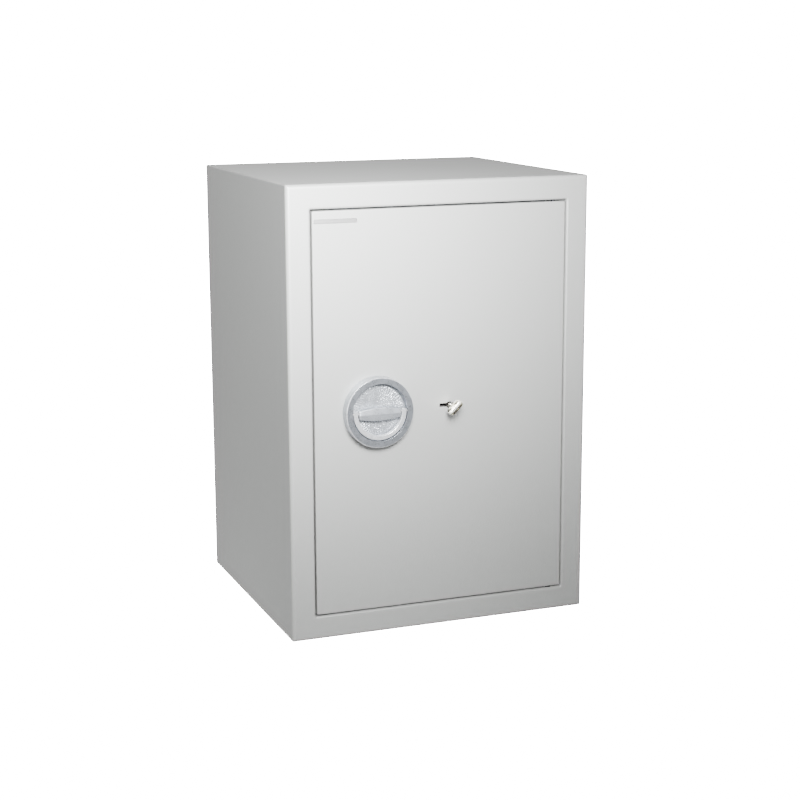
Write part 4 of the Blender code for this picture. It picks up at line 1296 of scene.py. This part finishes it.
# ---- the key
@dataclass
class Key:
    """The double-bitted key, standing half turned in the lock.

    Attributes:
        turn: Angle of the bow from level, in degrees.
        bow_wide: Half width of the bow.
        bow_long: Half length of the bow along the key.
        bow_thick: Thickness of the bow's rim.
        square: Squareness of the bow's outline; 1 is an ellipse, and less is squarer.
        ribs: Number of grip ribs across each side of the bow.
        rib_wide: Width of a rib.
        rim_wide: Width of the bow's raised rim.
        sunk: Depth of the web below the rim.
        groove: Depth of the groove round the bow's edge.
        shank: Radius of the shank.
        bit_reach: How far each bit stands out from the axis.
        bit_thick: Thickness of each bit.
    """

    turn: float = 45.0
    bow_wide: float = 0.0117
    bow_long: float = 0.0102
    bow_thick: float = 0.0046
    square: float = 0.5
    ribs: int = 1
    rib_wide: float = 0.0030
    rim_wide: float = 0.0026
    sunk: float = 0.0017
    groove: float = 0.0022
    shank: float = 0.0032
    bit_reach: float = 0.0124
    bit_thick: float = 0.0022

    def __post_init__(self) -> None:
        """Read the key's axis and ends from the frame."""
        low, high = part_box("key")
        self.start, self.end = low.y, high.y
        self.axis = (low + high) / 2

    def place(self, across: float, along: float, up: float) -> Vector:
        """Return a world point from the key's own directions.

        Args:
            across: Along the bow's width.
            along: Y in the frame.
            up: Out of the bow's flat side.

        Returns:
            The point.
        """
        turn = math.radians(self.turn)
        x = across * math.cos(turn) - up * math.sin(turn)
        z = across * math.sin(turn) + up * math.cos(turn)
        return Vector((self.axis.x + x, along, self.axis.z + z))

    def bow(self, bm: Mesh) -> None:
        """Add the oblong bow with a raised rim, a sunk web and ribs across it.

        Args:
            bm: The mesh to add to.
        """
        half, web = self.bow_thick / 2, self.bow_thick / 2 - self.sunk
        middle = self.start + self.bow_long
        rim = [(self.groove, 0.0005), (0.0, 0.0009), (0.0, half - 0.0004), (0.0004, half)]
        rim += [(self.rim_wide, half), (self.rim_wide + 0.0003, web)]
        rows = rim[::-1] + [(inset, -up) for inset, up in rim]
        count = 72
        loops = []
        for inset, up in rows:
            loop = []
            for i in range(count):
                c, s = math.cos(2 * math.pi * i / count), math.sin(2 * math.pi * i / count)
                across = (self.bow_wide - inset) * math.copysign(abs(c) ** self.square, c)
                along = (self.bow_long - inset) * math.copysign(abs(s) ** self.square, s)
                loop.append(self.place(across, middle + along, up))
            loops.append(loop)
        loft(bm, loops)
        self.rib_rows(bm, middle, half, web)

    def rib_rows(self, bm: Mesh, middle: float, half: float, web: float) -> None:
        """Add rounded ribs across both sides of the bow.

        Args:
            bm: The mesh to add to.
            middle: The bow's centre along Y.
            half: Half the bow's thickness.
            web: Half the sunk web's thickness.
        """
        step = 2 * (self.bow_long - self.rim_wide) / (self.ribs + 1)
        for number in range(self.ribs):
            at = middle + (number - (self.ribs - 1) / 2) * step
            reach = self.bow_wide - self.rim_wide
            wide, tall = self.rib_wide / 2, half - 0.0001
            for side in (-1, 1):
                base = side * (web - 0.0002)
                outline = [(at - wide, base), (at - wide * 0.5, side * tall)]
                outline += [(at + wide * 0.5, side * tall), (at + wide, base)]
                loft(bm, [[self.place(end, along, up) for along, up in outline] for end in (-reach, reach)])

    def shaft(self, bm: Mesh) -> None:
        """Add the shank with its collar and pointed tip.

        Args:
            bm: The mesh to add to.
        """
        start = self.start + 2 * self.bow_long - 0.0025
        length = self.end - start
        r, collar = self.shank, self.shank + 0.0009
        outline = [(0, 0), (r * 0.9, 0), (r, 0.0006), (r, 0.0030), (collar, 0.0036), (collar, 0.0056)]
        outline += [(r, 0.0062), (r, length - 0.0010), (r - 0.0010, length), (0, length)]
        lathe(bm, outline, facing((0, 1, 0), (self.axis.x, start, self.axis.z)), 48)

    def bits(self, bm: Mesh) -> None:
        """Add the two stepped bits at the key's tip.

        Args:
            bm: The mesh to add to.
        """
        half = self.bit_thick / 2
        front, back = self.end - 0.0145, self.end - 0.0010
        steps = [0.0, 0.0008, 0.0016, 0.0004, 0.0012, 0.0]
        long = (back - front) / len(steps)
        for side in (-1, 1):
            outline = [(0.0, front)]
            for number, less in enumerate(steps):
                reach = side * (self.bit_reach - less)
                outline += [(reach, front + number * long), (reach, front + (number + 1) * long)]
            outline.append((0.0, back))
            loft(bm, [[self.place(across, along, up) for across, along in outline] for up in (-half, half)])

    def build(self) -> None:
        """Build the key as one piece."""
        bm = bmesh.new()
        self.bow(bm)
        self.shaft(bm)
        self.bits(bm)
        dress(mesh_object("double_bitted_key", bm), NICKEL, "key", ["key"])


# ---- the frame's own nodes
def dress_frame_nodes() -> None:
    """Give every node of the frame the finish of its material slot."""
    slots = {part["node"]: part["material_slot"] for part in frame["record"]["subparts"]}
    for node, obj in frame["nodes"].items():
        finish = SLOT_FINISH[slots[node]]
        for holder in obj.material_slots:
            holder.material = finish.material()
        LOG.info("%s wears %s", node, finish.name)


# ---- the studio
@dataclass(frozen=True)
class Lamp:
    """One soft area lamp.

    Attributes:
        name: The lamp's name.
        place: Where it stands.
        target: What it points at.
        power: Watts.
        size: Edge lengths in metres.
        spread: How wide its beam opens, in degrees.
    """

    name: str
    place: Point
    target: Point
    power: float
    size: Pair
    spread: float = 180.0

    def build(self) -> None:
        """Add the lamp to the scene."""
        light = bpy.data.lights.new(self.name, "AREA")
        light.shape = "RECTANGLE"
        light.size, light.size_y = self.size
        light.energy = self.power
        light.spread = math.radians(self.spread)
        obj = bpy.data.objects.new(self.name, light)
        obj.location = self.place
        obj.visible_camera = False
        obj.rotation_euler = (Vector(self.target) - Vector(self.place)).to_track_quat("-Z", "Y").to_euler()
        bpy.context.scene.collection.objects.link(obj)


@dataclass
class Studio:
    """Plain floor, soft lamps and the camera.

    Attributes:
        azimuth: The camera looks this far round from straight on, in degrees.
        elevation: Its height angle, in degrees.
        roll: Its lean, in degrees.
        lens: Focal length in millimetres.
        stand: The camera's place, from the foot of the door face.
        floor_size: Edge length of the floor.
        sky: Strength of the surround as a light.
        backdrop: Strength of the surround as it is seen.
        floor_glow: Strength of the floor as it is seen.
    """

    azimuth: float = -20.987
    elevation: float = 11.857
    roll: float = -0.227
    lens: float = 78.20
    stand: Point = (-0.9133, -2.2164, 0.8342)
    floor_size: float = 14.0
    sky: float = 0.46
    backdrop: float = 40.0
    floor_glow: float = 40.0

    def camera(self) -> None:
        """Add the camera and make it the scene's."""
        data = bpy.data.cameras.new("camera")
        data.lens = self.lens
        data.sensor_width = 36.0
        cam = bpy.data.objects.new("camera", data)
        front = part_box("outer_casing")[0].y
        cam.location = Vector(self.stand) + Vector((0, front, 0))
        a, e = math.radians(self.azimuth), math.radians(self.elevation)
        back = Vector((math.sin(a) * math.cos(e), -math.cos(a) * math.cos(e), math.sin(e)))
        cam.rotation_mode = "QUATERNION"
        level = (-back).to_track_quat("-Z", "Y")
        lean = Matrix.Rotation(math.radians(self.roll), 4, "Z").to_quaternion()
        cam.rotation_quaternion = level @ lean
        bpy.context.scene.collection.objects.link(cam)
        bpy.context.scene.camera = cam

    def floor(self) -> None:
        """Add the plain pale floor."""
        half = self.floor_size / 2
        bm = bmesh.new()
        corners = [(-half, -half), (half, -half), (half, half), (-half, half)]
        bm.faces.new([bm.verts.new((x, y, -0.0002)) for x, y in corners])
        floor = mesh_object("studio_floor", bm)
        paint = FLOOR_PAINT.material()
        tree = paint.node_tree
        shader = tree.nodes["Principled BSDF"]
        shader.inputs["Emission Color"].default_value = (1.0, 1.0, 1.0, 1.0)
        path = tree.nodes.new("ShaderNodeLightPath")
        glow = math_node(tree, "MULTIPLY", path.outputs["Is Camera Ray"], self.floor_glow)
        tree.links.new(glow, shader.inputs["Emission Strength"])
        floor.data.materials.append(paint)

    def world(self) -> None:
        """Set an even, near-white surround."""
        world = bpy.data.worlds.new("surround")
        world.use_nodes = True
        back = world.node_tree.nodes["Background"]
        back.inputs["Color"].default_value = (1.0, 1.0, 1.0, 1.0)
        path = world.node_tree.nodes.new("ShaderNodeLightPath")
        glow = world.node_tree.nodes.new("ShaderNodeMapRange")
        glow.inputs["To Min"].default_value = self.sky
        glow.inputs["To Max"].default_value = self.backdrop
        world.node_tree.links.new(path.outputs["Is Camera Ray"], glow.inputs["Value"])
        world.node_tree.links.new(glow.outputs["Result"], back.inputs["Strength"])
        bpy.context.scene.world = world

    def build(self) -> None:
        """Set up the whole studio."""
        self.camera()
        self.floor()
        self.world()
        for lamp in LAMPS:
            lamp.build()


LAMPS = (
    Lamp("key_light", (-0.30, -1.10, 0.88), (-0.20, -0.2, 0.68), 12.6, (0.4, 0.4), 74.0),
    Lamp("side_light", (-2.2, -0.7, 0.6), (-0.22, 0.0, 0.36), 1.6, (1.0, 1.0), 60.0),
)


def main() -> None:
    """Build the studio, dress the frame and build each piece."""
    logging.basicConfig(level=logging.INFO, format="%(name)s: %(message)s")
    Studio().build()
    dress_frame_nodes()
    for part in (Casing(), Shelf(), Door(), Bolts(), GripDisc(), FoldingGrip(), Key()):
        LOG.info("building %s", type(part).__name__)
        part.build()


if __name__ == "__main__":
    main()
